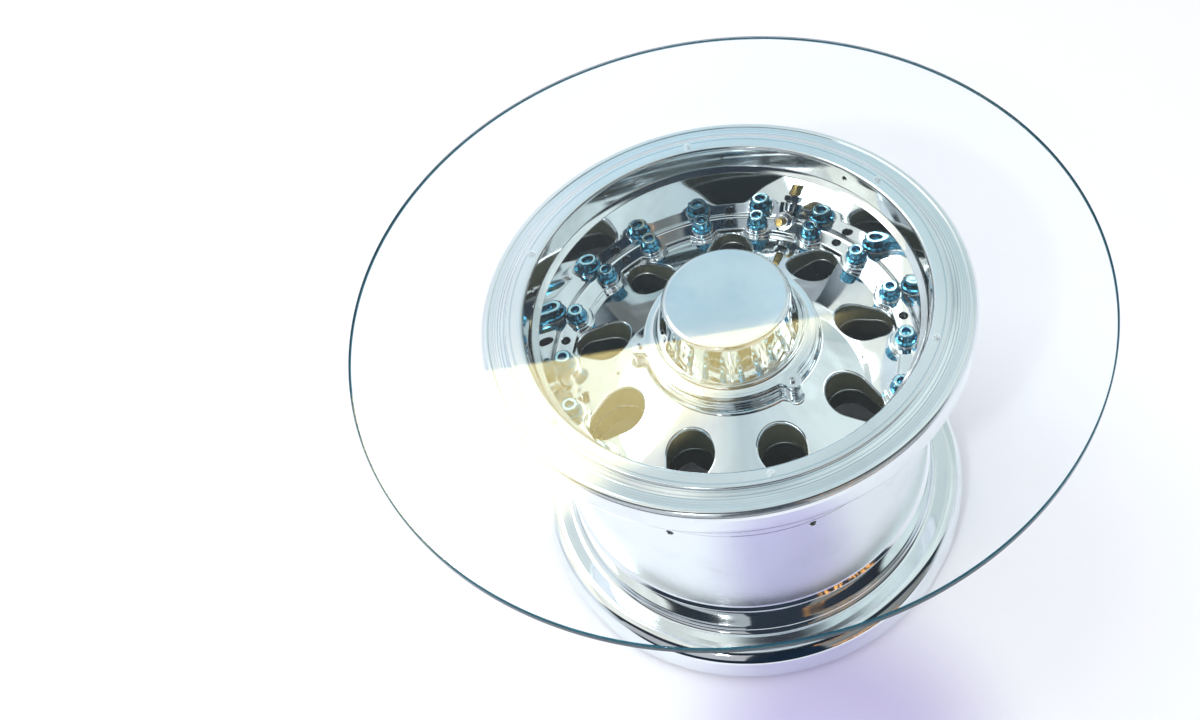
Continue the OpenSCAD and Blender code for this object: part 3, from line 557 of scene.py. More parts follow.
def primer_paint(start):
    """Olive primer, rubbed thin in places. Deep in the wheel, below the joint, its colour is darkened almost to
    black as painted shade of the closed cavity.
    """
    place, radius, height = lathe_place(start)
    cloud = place.noise(9.0, 7.0, 0.6)
    grain = place.noise(420.0, 2.0)
    fresh = cloud.fade(0.30, 0.62).tint(rgb(0.050, 0.053, 0.034), rgb(0.085, 0.085, 0.052))
    # The near-black colour below the joint is painted shade of the closed brake cavity.
    deep_painted_shade = cloud.fade(0.35, 0.70).tint(rgb(0.010, 0.013, 0.012), rgb(0.028, 0.030, 0.022))
    return {
        "Base Color": height.fade(0.298, 0.306).tint(deep_painted_shade, fresh),
        "Roughness": 0.42 + grain * 0.12,
        "Normal": grain.bump(0.2, 0.0002),
    }


def centres(piece):
    """Distance from the wheel's axis and height of the middle of every face."""
    middles = numbers_of(piece.data.polygons, "center", np.float32, 3) / MM
    return np.hypot(middles[:, 0], middles[:, 1]), middles[:, 2]


olive_primer = finish("olive_primer", primer_paint)
bare_edge = mirror_metal("bare_edge", rgb(0.90, 0.92, 0.93), 0.30, 0.3)
out, up = centres(outer_half)
vent_wall = (out > 131.0) & (out < 208.5) & (up > JOINT_Z + 0.3) & (up < face_z(out) - VENT_LIP + 0.4)
fitted(outer_half, "wheel", ["outer_wheel_half"], "polished_aluminium", polished_aluminium, olive_primer)
outer_half.data.polygons.foreach_set("material_index", vent_wall.astype(np.int32))


# The inner wheel half: lower flange, drum, brake cavity and the disc and hub behind the joint. It is
# forged and polished outside like its mate; the brake cavity inside keeps its olive primer, darkened
# almost to black below the joint as painted shade.

CAVITY_R, INNER_DISC_Z, CAVITY_FILLET = 237.0, 272.5, 8.0
INNER_HUB_R, HUB_LOW_Z, INNER_CUP_R, INNER_CUP_LOW, INNER_RECESS_R = 102.0, 191.5, 82.0, 203.5, 88.0
INNER_CUP_TOP, EDGE_R = 241.5, 2.6


inner_rings = (
    [(BORE_R, JOINT_Z), (BORE_R, INNER_CUP_TOP), (INNER_CUP_R, INNER_CUP_TOP), (INNER_CUP_R, INNER_CUP_LOW),
     (INNER_RECESS_R, INNER_CUP_LOW), (INNER_RECESS_R, HUB_LOW_Z + 1.0), (INNER_RECESS_R + 1.0, HUB_LOW_Z),
     (INNER_HUB_R - 1.5, HUB_LOW_Z), (INNER_HUB_R, HUB_LOW_Z + 1.5), (INNER_HUB_R, INNER_DISC_Z - 12.0)]
    + arc(INNER_HUB_R + 6.0, INNER_DISC_Z - 6.0, 6.0, 180, 90, 6)
    + [(INNER_HUB_R + 20.0, INNER_DISC_Z), (CAVITY_R - 20.0, INNER_DISC_Z)]
    + arc(CAVITY_R - CAVITY_FILLET, INNER_DISC_Z - CAVITY_FILLET, CAVITY_FILLET, 90, 0, 8)
    + [(CAVITY_R, 200.0), (CAVITY_R, 100.0), (CAVITY_R, 35.0), (CAVITY_R + 0.2, 28.6)]
    + flange_skin(MOUTH_R - CAVITY_R)
    + [(WELL_R, 180.0), (WELL_R, 250.0), (WELL_R, JOINT_Z - 0.5), (WELL_R - 0.5, JOINT_Z),
       (PILOT_R, JOINT_Z), (PILOT_R, JOINT_Z + PILOT_H - 0.5), (PILOT_R - 0.5, JOINT_Z + PILOT_H),
       (PILOT_R - PILOT_W, JOINT_Z + PILOT_H), (PILOT_R - PILOT_W, JOINT_Z)])
inner_half = lofted("inner_half", inner_rings, sectors=360)
inner_vents = vent_tool("inner_vents", [(1.2, INNER_DISC_Z - 2.0), (1.2, INNER_DISC_Z),
                                        (0.4, INNER_DISC_Z + 0.4), (0.0, INNER_DISC_Z + 1.2)]
                       + [(EDGE_R * (1 - cos(radians(t))), JOINT_Z - EDGE_R * (1 - sin(radians(t))))
                          for t in (0, 22, 45, 67, 85)] + [(EDGE_R, JOINT_Z + 9.0)])
nut_cut = lofted("nut_cut", [(0, -CAVITY_FILLET), (SPOT_R, -CAVITY_FILLET), (SPOT_R, 1.0), (BOLT_HOLE_R, 1.0),
                             (BOLT_HOLE_R, 42.0), (0, 42.0)],
                 spread(BOLTS, BOLT_R, INNER_DISC_Z, BOLT_FIRST), 64, closed=False)
peg_cut = lofted("peg_cut", [(0, -2.0), (KEY_HOLE_R, -2.0), (KEY_HOLE_R, 42.0), (0, 42.0)],
                 spread(9, KEY_HOLE_AT, INNER_DISC_Z), 48, closed=False)
LOCK_Z, LOCK_R = 296.5, 4.5
lock_cut = lofted("lock_cut", [(0, 0), (LOCK_R, 0), (LOCK_R, 26.8), (LOCK_R + 0.8, 27.6),
                               (LOCK_R + 0.8, 29.0), (0, 29.0)],
                  [p @ lay_out for p in spread(9, KEY_HOLE_AT, LOCK_Z)], 48, closed=False)
KEY_SCREW_Z = 58.0
key_screw_cut = lofted("key_screw_cut", [(0, -2.0), (4.25, -2.0), (4.25, 9.0), (0, 9.0)],
                       [p @ lay_out for p in spread(9, CAVITY_R - 1.0, KEY_SCREW_Z)], 40, closed=False)
machined(inner_half, cuts=[inner_vents, nut_cut, peg_cut, lock_cut, key_screw_cut])
out, up = centres(inner_half)
painted = (out < CAVITY_R + 0.12) & (out > INNER_RECESS_R - 0.1) & (up > 28.7) & (up < JOINT_Z - EDGE_R)
edge = (out > 120.0) & (out < 212.0) & (up > JOINT_Z - EDGE_R) & (up < JOINT_Z - 0.002)
fitted(inner_half, "wheel", ["inner_wheel_half"], "polished_aluminium", polished_aluminium, olive_primer,
       bare_edge)
inner_half.data.polygons.foreach_set("material_index", np.where(edge, 2, painted).astype(np.int32))


# The seal ring between the halves is black rubber, squeezed in the gland by the joint.

def rubber_skin(start):
    place, radius, height = lathe_place(start)
    dust = place.noise(160.0, 4.0)
    return {
        "Base Color": dust.fade(0.4, 0.8).tint(rgb(0.012, 0.012, 0.014), rgb(0.05, 0.05, 0.055)),
        "Roughness": 0.45 + dust * 0.2,
        "Normal": dust.bump(0.2, 0.0002),
    }


def coated(material, *nodes):
    """A CAD node keeps its shape and gets this finish."""
    for node in nodes:
        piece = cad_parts[node]
        for place in piece.material_slots:
            place.material = material


black_rubber = finish("black_rubber", rubber_skin)
coated(black_rubber, "seal_ring")


# The bearing cups are ground bearing steel, pressed into both hubs.

def ground_steel(start):
    place, radius, height = lathe_place(start)
    stretched = start.node("CombineXYZ", {}, {"X": radius, "Y": height, "Z": 0.0})
    marks = stretched.noise(2400.0, 3.0)
    stain = place.noise(35.0, 5.0)
    return {
        "Base Color": stain.fade(0.5, 0.75).tint(rgb(0.56, 0.57, 0.58), rgb(0.40, 0.38, 0.36)),
        "Metallic": 1.0,
        "Roughness": 0.2 + marks * 0.14,
        "Normal": marks.bump(0.12, 0.0002),
    }


bearing_steel = finish("bearing_steel", ground_steel)
coated(bearing_steel, "outer_bearing_cup", "inner_bearing_cup")


# Eighteen twelve-point tie bolts hold the halves together. They are machined from steel with a hollow
# head and carry a clear blue-green coating; bright washers lie under the heads, plain nuts behind.

WASHER_TOP, SHANK = 331.5, 80.0
HEAD_FLANGE_T, HEAD_FLATS, HEAD_TOP, RECESS_R, RECESS_DEEP = 5.0, 20.0, 17.0, 5.5, 8.0
CHAMFER_RISE = 0.6


def flats(width, points, sectors=72):
    """Radius of every sector of a hexagon, or of two of them half a step apart, across its flats."""
    turns = np.degrees(np.arange(sectors) * 2 * pi / sectors)
    ring = lambda shift: width / 2 / np.cos(np.radians((turns + shift) % 60 - 30))
    return ring(0) if points == 6 else np.maximum(ring(0), ring(30))


def chamfered(outline, low, high, clip):
    """Rings up a hexagon or twelve-point head whose corners are turned off at the top."""
    drop = np.maximum(outline - clip, 0) * CHAMFER_RISE
    return [(outline, low), (outline, high - drop - 0.01), (np.minimum(outline, clip), high)]


star = flats(HEAD_FLATS, 12)
bolt_rings = (
    [(0, -SHANK), (7.0, -SHANK), (8.0, -SHANK + 1.0), (8.0, -0.2), (8.0, 0), (13.3, 0)]
    + arc(13.0, 1.0, 1.0, -90, 0, 4) + [(14.0, 3.2)] + arc(13.0, 3.2, 1.0, 0, 70, 4)
    + [(star + 1.2, HEAD_FLANGE_T - 0.25), (star + 0.35, HEAD_FLANGE_T), (star, HEAD_FLANGE_T + 0.5)]
    + chamfered(star, HEAD_FLANGE_T + 0.5, HEAD_TOP - 1.6, 10.0)[1:]
    + arc(8.2, HEAD_TOP - 1.8, 1.8, 12, 90, 6)
    + [(7.0, HEAD_TOP)] + arc(RECESS_R + 0.9, HEAD_TOP - 0.9, 0.9, 90, 180, 4)[1:] + [
       (RECESS_R, HEAD_TOP - RECESS_DEEP + 1.2), (RECESS_R - 1.2, HEAD_TOP - RECESS_DEEP),
       (0, HEAD_TOP - RECESS_DEEP - 1.0)])


def blue_coat(start):
    """A clear blue-green coating over machined metal. The top of each head gets a lighter colour as a painted
    highlight; the sides get a darker one.
    """
    place, radius, height = lathe_place(start)
    tone = place.noise(130.0, 4.0)
    marks = place.noise(1500.0, 2.0)
    side = tone.fade(0.35, 0.7).tint(rgb(0.028, 0.25, 0.43), rgb(0.08, 0.44, 0.64))
    # The light cyan on the top of the head is a painted highlight.
    crown = tone.fade(0.30, 0.6).tint(rgb(0.38, 0.76, 0.90), rgb(0.60, 0.90, 0.97))
    return {
        "Base Color": height.fade(0.3468, 0.3484).tint(side, crown),
        "Metallic": 1.0,
        "Roughness": 0.05 + tone * 0.07,
        "Coat Weight": 1.0,
        "Coat Roughness": 0.03,
        "Normal": marks.bump(0.15, 0.0001),
    }


bolt_blue = finish("bolt_blue", blue_coat)
tie_bolts = lofted("tie_bolts_coated", bolt_rings, spread(BOLTS, BOLT_R, WASHER_TOP, BOLT_FIRST), 72,
                   closed=False)
rounded(tie_bolts, 40.0)
fitted(tie_bolts, "wheel", ["tie_bolts"], "blue_bolt", bolt_blue)

WASHER_R, WASHER_BORE_R, WASHER_T = 15.0, 8.25, 3.0
washer_rings = ([(WASHER_BORE_R, WASHER_T - 0.3), (WASHER_BORE_R, 0.3), (WASHER_BORE_R + 0.3, 0)]
                + arc(WASHER_R - 0.6, 0.6, 0.6, -90, 0, 4)
                + arc(WASHER_R - 0.6, WASHER_T - 0.6, 0.6, 0, 90, 4)
                + [(WASHER_BORE_R + 0.4, WASHER_T)])
washers = lofted("head_washers_turned", washer_rings, spread(BOLTS, BOLT_R, SPOT_Z, BOLT_FIRST), 72)
rounded(washers)
bright_washer = mirror_metal("bright_washer", rgb(0.80, 0.83, 0.85), 0.12, 0.3)
fitted(washers, "wheel", ["head_washers"], "washer", bright_washer)


def plated_steel(start):
    """Zinc-plated steel with fine grain and dull patches."""
    place, radius, height = lathe_place(start)
    grain = place.noise(700.0, 3.0)
    cloud = place.noise(60.0, 5.0)
    return {
        "Base Color": cloud.fade(0.4, 0.7).tint(rgb(0.50, 0.51, 0.53), rgb(0.36, 0.36, 0.37)),
        "Metallic": 1.0,
        "Roughness": 0.28 + grain * 0.18,
        "Normal": grain.bump(0.15, 0.0002),
    }


plain_steel = finish("plain_steel", plated_steel)
coated(plain_steel, "tie_bolt_nuts", "nut_washers")


# Nine steel drive keys stand in the brake cavity and turn the brake discs. Each has a peg through the
# disc, a lock screw across the peg and a socket screw at its lower end.

KEY_OUT, KEY_W, KEY_LOW = 236.34, 26.0, 36.0
KEY_IN, KEY_EDGE = KEY_OUT - 20.0, 1.2


def key_block():
    """Section of a key in radius and height, drawn out to its width with turned-off ends."""
    section = [(KEY_IN + KEY_EDGE, KEY_LOW), (KEY_OUT - KEY_EDGE, KEY_LOW), (KEY_OUT, KEY_LOW + KEY_EDGE),
               (KEY_OUT, INNER_DISC_Z - CAVITY_FILLET), (KEY_OUT - CAVITY_FILLET, INNER_DISC_Z - 1.0),
               (KEY_OUT - CAVITY_FILLET - 1.0, INNER_DISC_Z), (KEY_IN, INNER_DISC_Z),
               (KEY_IN, KEY_LOW + KEY_EDGE)]
    middle = np.mean(section, axis=0)
    points, faces = [], []
    for across, shrink in ((-KEY_W / 2, KEY_EDGE), (-KEY_W / 2 + KEY_EDGE, 0), (KEY_W / 2 - KEY_EDGE, 0),
                           (KEY_W / 2, KEY_EDGE)):
        for x, z in section:
            inward = np.sign(middle - (x, z)) * shrink
            points.append((x + inward[0], across, z + inward[1]))
    count = len(section)
    for layer in range(3):
        for i in range(count):
            j = (i + 1) % count
            a, b = layer * count, (layer + 1) * count
            faces.append((a + i, b + i, b + j, a + j))
    faces.append([i for i in range(count)])
    faces.append([3 * count + i for i in range(count)][::-1])
    return points, faces


for number in range(9):
    turn = moved(0, 0, 0, 40.0 * number)
    points, faces = key_block()
    spin = np.array(turn.to_3x3())
    key = solid("key_%d" % (number + 1), np.array(points) @ spin.T, faces)
    form = bmesh.new()
    form.from_mesh(key.data)
    bmesh.ops.recalc_face_normals(form, faces=form.faces)
    form.to_mesh(key.data)
    form.free()
    peg = lofted("peg", [(0, 260.0), (5.9, 260.0), (5.9, 300.5), (4.9, 301.5), (0, 301.5)],
                 [turn @ moved(KEY_HOLE_AT, 0, 0)], 48, closed=False)
    screw_hole = lofted("screw_hole", [(0, -1.0), (6.75, -1.0), (6.75, 8.0), (4.25, 8.0), (4.25, 22.0),
                                       (0, 22.0)],
                        [turn @ moved(KEY_IN, 0, KEY_SCREW_Z) @ lay_out], 48, closed=False)
    machined(key, cuts=[screw_hole], joins=[peg])
    fitted(key, "wheel", ["drive_key_%d" % (number + 1)], "key_steel", plain_steel)
coated(plain_steel, "key_lock_screws", "key_screws")


# The inflation valve stands in a boss at the foot of the dish wall: a chromed body on a rubber seal, a
# brass core with a steel pin, and a knurled brass cap.

def satin(name, colour, worn, rough):
    """Plated or bare small turned parts: even colour with finger marks and fine grain."""
    def build(start):
        place, radius, height = lathe_place(start)
        touch = place.noise(240.0, 4.0)
        grain = place.noise(1800.0, 2.0)
        return {
            "Base Color": touch.fade(0.45, 0.75).tint(colour, worn),
            "Metallic": 1.0,
            "Roughness": rough + touch * 0.1,
            "Normal": grain.bump(0.1, 0.0001),
        }
    return finish(name, build)


chrome = satin("chrome", rgb(0.72, 0.75, 0.78), rgb(0.62, 0.65, 0.68), 0.05)
brass = satin("brass", rgb(0.83, 0.58, 0.20), rgb(0.70, 0.45, 0.14), 0.14)
valve_place = ports[0]
hexagon = flats(17.0, 6)
valve_rings = ([(1.0, -20.0), (4.3, -20.0), (4.9, -19.4), (4.9, 1.6), (8.1, 1.6), (8.4, 1.9), (8.4, 2.4)]
               + chamfered(hexagon, 2.6, 9.4, 8.55) + [(8.2, 9.6), (4.6, 9.6), (4.0, 10.0)]
               + [(4.0, 10.0 + i * 0.45 + step_up) if wide else (3.75, 10.2 + i * 0.45 + step_up)
                  for i in range(29) for wide, step_up in ((True, 0.0), (False, 0.0))]
               + [(3.6, 23.4), (3.3, 23.6), (2.8, 23.6), (2.5, 23.3), (2.5, 9.6), (1.0, 9.6)])
valve = lofted("valve_turned", valve_rings, [valve_place], 72)
rounded(valve)
fitted(valve, "wheel", ["valve_body"], "chrome_fitting", chrome)
coated(black_rubber, "valve_seal", "plug_seals")
coated(brass, "valve_core")
coated(plain_steel, "valve_pin")

KNURLS = 36
knurl = 5.86 + 0.14 * np.cos(np.arange(KNURLS * 4) * pi / 2)
cap_rings = ([(0, 13.3), (4.1, 13.3), (4.3, 13.0), (4.3, 0.5), (4.7, 0), (5.3, 0), (5.7, 0.5),
              (knurl, 0.9), (knurl, 6.8), (5.8, 7.2), (5.5, 7.5)] + [(5.5, 13.9)]
             + arc(4.5, 14.0, 1.0, 0, 90, 5) + [(2.0, 15.0), (0, 15.0)])
valve_cap = lofted("valve_cap_knurled", cap_rings, [valve_place @ Matrix.Translation((0, 0, 10.6))],
                   KNURLS * 4, closed=False)
rounded(valve_cap)
fitted(valve_cap, "valve_cap", ["valve_cap"], "brass", brass)


# Two fuse plugs and a relief plug sit in bosses like the valve's. The fuse plugs have a soft core that
# melts out of an overheated wheel.

plug_hexagon = flats(14.0, 6)
stub_rings = [(0, -20.0), (4.3, -20.0), (4.9, -19.4), (4.9, 1.6), (6.6, 1.6), (6.8, 1.9), (6.8, 2.3)]
fuse_rings = (stub_rings + chamfered(plug_hexagon, 2.5, 8.4, 7.0)
              + [(6.7, 8.6), (3.0, 8.6), (2.5, 8.2), (2.5, 7.6), (0, 7.6)])
for number, place in enumerate(ports[2:]):
    fuse = lofted("fuse_plug_%d_turned" % (number + 1), fuse_rings, [place], 72, closed=False)
    rounded(fuse)
    fitted(fuse, "wheel", ["fuse_plug_%d" % (number + 1)], "chrome_fitting", chrome)
relief_rings = (stub_rings + chamfered(plug_hexagon, 2.5, 8.4, 7.0)
                + [(6.7, 8.6), (5.8, 8.6), (5.5, 9.0), (5.5, 15.2), (5.1, 15.6), (3.1, 15.6), (2.75, 15.2),
                   (2.75, 12.1), (0, 12.1)])
relief = lofted("relief_plug_turned", relief_rings, [ports[1]], 72, closed=False)
rounded(relief)
fitted(relief, "wheel", ["relief_plug"], "chrome_fitting", chrome)


# The hubcap is spun and polished aluminium on a thin black gasket. Three socket screws through its
# ears go into steel inserts in the hub.

coated(black_rubber, "hubcap_gasket")
coated(plain_steel, "screw_inserts")
CAP_LOW, CAP_FLANGE_TOP, CAP_TOP, CAP_FOOT_R, CAP_TOP_R, CAP_WALL = 377.5, 383.5, 443.5, 91.0, 79.5, 4.0
RIM, FLARE = 7.0, 9.0
cap_edge = ear_outline(107.0)
lean = np.degrees(np.arctan(11.5 / (CAP_TOP - RIM - CAP_FLANGE_TOP - FLARE)))
hubcap_rings = (
    [(0, CAP_TOP - CAP_WALL), (CAP_TOP_R - RIM, CAP_TOP - CAP_WALL)]
    + arc(CAP_TOP_R - RIM, CAP_TOP - RIM, RIM - CAP_WALL, 80, lean, 6)
    + [(CAP_FOOT_R - CAP_WALL, CAP_FLANGE_TOP + FLARE), (CAP_FOOT_R - CAP_WALL, CAP_LOW), (95.0, CAP_LOW),
       (cap_edge - 0.6, CAP_LOW), (cap_edge, CAP_LOW + 0.6), (cap_edge, CAP_FLANGE_TOP - 0.8),
       (cap_edge - 0.25, CAP_FLANGE_TOP - 0.25), (cap_edge - 0.8, CAP_FLANGE_TOP),
       (cap_edge - 1.6, CAP_FLANGE_TOP),
       (104.6, CAP_FLANGE_TOP), (104.2, CAP_FLANGE_TOP - 0.7), (103.0, CAP_FLANGE_TOP - 0.7),
       (102.6, CAP_FLANGE_TOP),
       (CAP_FOOT_R + FLARE + 1.0, CAP_FLANGE_TOP)]
    + arc(CAP_FOOT_R + FLARE, CAP_FLANGE_TOP + FLARE, FLARE, 270, 180 + lean, 12)
    + arc(CAP_TOP_R - RIM, CAP_TOP - RIM, RIM, lean, 90, 12)
    + [(60.0, CAP_TOP), (30.0, CAP_TOP), (0, CAP_TOP)])
hubcap = lofted("hubcap_spun", hubcap_rings, closed=False)
cap_holes = lofted("cap_holes", [(0, -2.0), (2.75, -2.0), (2.75, 8.0), (0, 8.0)],
                   spread(3, EAR_AT, CAP_LOW, EARS[0]), 40, closed=False)
machined(hubcap, cuts=[cap_holes])


def spun_metal(start):
    """Spun aluminium: a mirror on the wall, softly clouded on the flat top."""
    place, radius, height = lathe_place(start)
    rings = start.node("CombineXYZ", {}, {"X": radius, "Y": height, "Z": 0.0})
    lathe = rings.noise(1300.0, 2.0)
    cloud = place.noise(11.0, 5.0, 0.6)
    flat = height.fade(0.4425, 0.4434)
    clouded = cloud.fade(0.35, 0.7)
    return {
        "Base Color": (flat * clouded).tint(rgb(0.88, 0.92, 0.94), rgb(0.74, 0.83, 0.89)),
        "Metallic": 1.0,
        "Roughness": 0.03 + flat * clouded * 0.03 + lathe * 0.01,
        "Normal": (lathe * 0.06 + cloud * 0.4).bump(0.06, 0.001),
    }


fitted(hubcap, "wheel", ["hubcap"], "polished_aluminium", finish("spun_aluminium", spun_metal))

socket = flats(3.0, 6)
screw_rings = ([(0, -18.0), (2.1, -18.0), (2.5, -17.6), (2.5, 0), (3.2, 0), (3.5, 0.3), (3.5, 3.0)]
               + arc(3.0, 3.0, 0.5, 0, 90, 4)
               + [(2.2, 3.5), (socket + 0.15, 3.4), (socket, 3.2), (socket, 1.5), (0, 1.2)])
cap_screws = lofted("hubcap_screws_turned", screw_rings, spread(3, EAR_AT, CAP_FLANGE_TOP, EARS[0]), 72,
                    closed=False)
rounded(cap_screws)
fitted(cap_screws, "wheel", ["hubcap_screws"], "steel", chrome)


# Six clear soft bumpers on the crest of the upper flange carry the glass and keep it from sliding.

def clear_rubber(start):
    place, radius, height = lathe_place(start)
    haze = place.noise(300.0, 3.0)
    return {
        "Base Color": haze.tint(rgb(0.86, 0.90, 0.93), rgb(0.95, 0.97, 0.98)),
        "Roughness": 0.18 + haze * 0.15,
        "Alpha": 0.12 + haze * 0.08,
    }


GLASS_LOW, GLASS_TOP, GLASS_R = 452.0, 462.0, 457.0
soft_clear = finish("soft_clear", clear_rubber)
for number in range(6):
    bumper = lofted("bumper_%d" % (number + 1),
                    [(0, 0), (4.2, 0), (4.8, 0.4), (5.0, 1.2), (4.8, 2.4), (4.2, 3.4), (3.4, 3.95), (3.0, 4.0),
                     (0, 4.0)],
                    [moved(258.0, 0, CREST_Z, 30.0 + 60.0 * number)], 64, closed=False)
    rounded(bumper, 50.0)
    fitted(bumper, "wheel", ["glass_bumper_%d" % (number + 1)], "bumper", soft_clear)


# The top is a disc of clear float glass, its edge ground round and polished. Its own tint shows only
# at the edge, where the eye looks along the sheet.

EDGE = 2.0


def sheet_of_glass(name, tint, through):
    """Glass that lets the lamps through."""
    material = bpy.data.materials.new(name)
    material.use_nodes = True
    material.node_tree.nodes.clear()
    start = Shade(material.node_tree)
    place, radius, height = lathe_place(start)
    smear = place.noise(5.0, 6.0)
    glass = start.node("BsdfPrincipled", {}, {
        "Base Color": smear.fade(0.3, 0.7).tint(tint, tuple(min(1.0, part * 1.01) for part in tint)),
        "Roughness": 0.0,
        "Transmission Weight": through,
        "IOR": 1.5,
        "Specular Tint": rgb(0.35, 0.35, 0.35),
    })
    clear = start.node("BsdfTransparent", {}, {"Color": rgb(0.90, 0.95, 0.955)})
    shadow = start.node("LightPath", {}, {}, out="Is Shadow Ray")
    start.node("OutputMaterial", {},
               {"Surface": start.node("MixShader", {}, {0: shadow, 1: glass, 2: clear})})
    return material


glass_rings = ([(0, GLASS_LOW), (200.0, GLASS_LOW), (440.0, GLASS_LOW)]
               + arc(GLASS_R - EDGE, GLASS_LOW + EDGE, EDGE, -90, 0, 6)
               + arc(GLASS_R - EDGE, GLASS_TOP - EDGE, EDGE, 0, 90, 6)
               + [(440.0, GLASS_TOP), (200.0, GLASS_TOP), (0, GLASS_TOP)])
glass = lofted("glass_disc", glass_rings, sectors=720, closed=False)
rounded(glass)
fitted(glass, "glass", ["glass_top"], "glass", sheet_of_glass("clear_glass", rgb(0.976, 0.993, 0.994), 1.0),
       sheet_of_glass("glass_edge", rgb(0.005, 0.055, 0.085), 0.5))
out, up = centres(glass)
glass.data.polygons.foreach_set("material_index", (out > GLASS_R - EDGE + 0.02).astype(np.int32))


# The floor is plain, pale and matt, and keeps the soft shadow of the table. In front of the wheel's foot a
# lavender painted shadow is mixed into its colour.

FLOOR_HALF, FLOOR_DROP = 9.0, 0.0004
floor_mesh = bpy.data.meshes.new("floor")
floor_mesh.from_pydata([(x * FLOOR_HALF, y * FLOOR_HALF, -FLOOR_DROP)
                        for x, y in ((-1, -1), (1, -1), (1, 1), (-1, 1))],
                       [], [(0, 1, 2, 3)])
floor = bpy.data.objects.new("floor", floor_mesh)
bpy.context.scene.collection.objects.link(floor)


def floor_paint(start):
    place = start.node("TexCoord", {}, {}, out="Object")
    mottle = place.noise(2.0, 4.0)
    pale = mottle.tint(rgb(0.86, 0.865, 0.905), rgb(0.885, 0.885, 0.925))
    x = place.node("SeparateXYZ", {}, {0: place})
    y = x.other("Y") + 0.42
    off = start.sums("SQRT", (x - 0.03) * (x - 0.03) + y * y)
    # A lavender painted shadow, darkest just in front of the wheel's foot.
    lavender_painted_shadow = off.fade(0.27, 0.08).tint(pale, rgb(0.54, 0.50, 0.72))
    return {"Base Color": lavender_painted_shadow, "Roughness": 0.7}


floor_mesh.materials.append(finish("floor_paint", floor_paint))


# The room that the metal mirrors: a pale far wall, a ceiling that is bright and creamy on the left, and
# a dark side behind the camera with a pale panel, a grey one and small warm lights. Seen straight or
# through glass the room is white. The glass alone mirrors the glow in full; metal shows it dimmed.

world = bpy.data.worlds.new("studio")
bpy.context.scene.world = world
world.use_nodes = True
world.node_tree.nodes.clear()
sky = Shade(world.node_tree)
look = sky.node("TexCoord", {}, {}, out="Generated")
east = look.node("SeparateXYZ", {}, {0: look})
north, high = east.other("Y"), east.other("Z")


def blend(share, under, over):
    return share.tint(under, over)


def patch(across, up, left, right, low, top, soft=0.03):
    """A rectangle with soft edges."""
    return (across.fade(left - soft, left) * across.fade(right + soft, right)
            * up.fade(low - soft, low) * up.fade(top + soft, top))


# Where a ray meets a level ceiling, and where it meets the wall behind the camera
rise = sky.sums("MAXIMUM", high, 0.02)
over_east, over_north = east / rise, north / rise
back = sky.sums("MAXIMUM", 0 - north, 0.02)
across, up = east / back, high / back
cloud = look.noise(3.0, 3.0, 0.6)
clouds = cloud.fade(0.35, 0.65, 0.86, 1.08)

far_wall = blend(east.fade(-0.01, -0.12), rgb(0.62, 0.79, 0.88), rgb(0.86, 0.91, 0.96))
far_wall = blend(east.fade(0.10, 0.26), far_wall, rgb(0.62, 0.73, 0.74))
far_wall = blend(high.fade(0.22, 0.06), far_wall, rgb(0.95, 0.97, 1.0))
ceiling = blend(over_east.fade(-0.02, -0.30), rgb(0.64, 0.73, 0.76), rgb(0.96, 0.95, 0.90))
ceiling = blend(over_east.fade(0.08, 0.45), ceiling, rgb(0.78, 0.86, 0.86))
glow = (over_north - over_east * 0.5).fade(0.65, 0.70) * over_east.fade(0.34, 0.02)
on_glass = (sky.node("LightPath", {}, {}, out="Is Singular Ray")
            * sky.node("LightPath", {}, {}, out="Transmission Depth").fade(3.0, 2.5))
ceiling = blend(glow, ceiling, blend(on_glass, rgb(1.25, 1.20, 1.08), rgb(16.0, 13.6, 6.2)))
room = blend((over_north + over_east * 0.062).fade(0.771, 0.765), far_wall, ceiling)

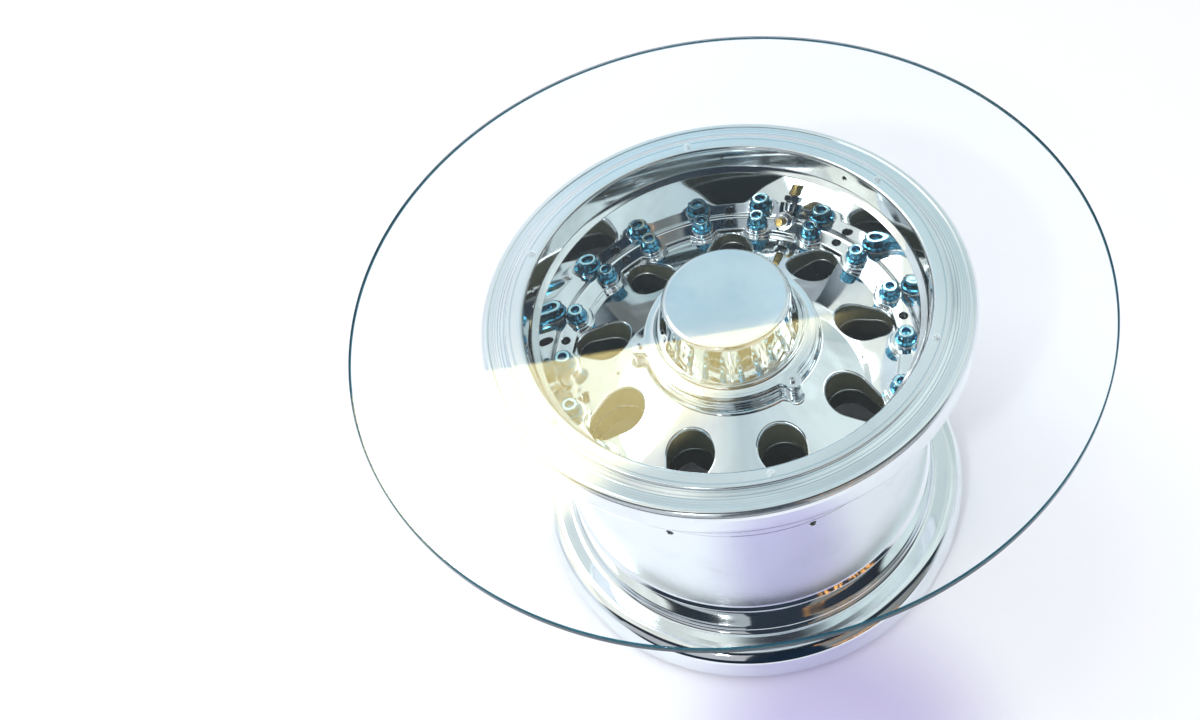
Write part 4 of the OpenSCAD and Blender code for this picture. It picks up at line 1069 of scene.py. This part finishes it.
dark = blend(up.fade(1.0, 4.0), rgb(0.010, 0.022, 0.042), rgb(0.006, 0.008, 0.016))
dark = blend(patch(across, up, -3.2, -0.36, 0.42, 1.75), dark, rgb(0.50, 0.51, 0.54))
dark = blend(patch(across, up, 0.30, 2.6, 0.20, 1.45, 0.06) * clouds, dark, rgb(0.25, 0.25, 0.24))
sparks = look.noise(60.0, 2.0).fade(0.52, 0.60)
warm = patch(across, up, 0.32, 1.1, 0.03, 0.27) + patch(across, up, 0.25, 0.9, 1.30, 1.62)
dark = blend(warm * sparks, dark, rgb(1.7, 0.75, 0.18))
room = blend(over_north.fade(-0.19, -0.27), room, dark)
room = blend(east.far_from(0.0).fade(0.86, 0.97), room, rgb(0.75, 0.80, 0.86))
room = sky.node("Mix", {"data_type": "RGBA", "blend_type": "MULTIPLY"}, {0: 1.0, 6: room, 7: clouds}, out=2)
mirrored = sky.node("LightPath", {}, {}, out="Glossy Depth")
scattered = sky.node("LightPath", {}, {}, out="Diffuse Depth")
seen = blend(mirrored.fade(0.0, 0.5) * scattered.fade(0.5, 0.0), rgb(0.93, 0.94, 0.97), room)
sky.node("OutputWorld", {}, {"Surface": sky.node("Background", {}, {"Color": seen, "Strength": 1.0})})


# A wide soft lamp hangs over the table, and a small bright one stands beside the camera.

def lamp(name, place, aim, width, power, colour):
    light = bpy.data.lights.new(name, "AREA")
    light.shape, light.size, light.energy, light.color = "DISK", width, power, colour
    holder = bpy.data.objects.new(name, light)
    bpy.context.scene.collection.objects.link(holder)
    holder.location = place
    holder.rotation_euler = (Vector(aim) - Vector(place)).to_track_quat("-Z", "Y").to_euler()
    holder.visible_camera = False
    return holder


lamp("small_lamp", (-1.25, -2.0, 2.9), (0.0, 0.0, 0.4), 0.2, 24.0, (1.0, 0.98, 0.95))
lamp("soft_lamp", (-1.6, 1.2, 3.4), (0.0, 0.0, 0.3), 1.8, 30.0, (0.97, 0.98, 1.0))


# The camera stands where the photograph's camera stood, a little left of the wheel's middle and
# 1.66 m above the floor.

sight = bpy.data.cameras.new("camera")
sight.sensor_width, sight.lens = 36.0, 38.948
sight.shift_x, sight.shift_y = -0.0934, -0.0164
sight.clip_start, sight.clip_end = 0.05, 60.0
camera = bpy.data.objects.new("camera", sight)
bpy.context.scene.collection.objects.link(camera)
ROLL = radians(9.829)
level, upward = Vector((0.99863, -0.05234, 0.0)), Vector((0.04168, 0.79524, 0.60486))
side = level * cos(ROLL) - upward * sin(ROLL)
top = level * sin(ROLL) + upward * cos(ROLL)
turned = Matrix((side, top, side.cross(top))).transposed().to_4x4()
camera.matrix_world = Matrix.Translation((-0.0762, -0.9835, 1.6648)) @ turned
bpy.context.scene.camera = camera

bpy.context.scene.view_settings.view_transform = "Standard"
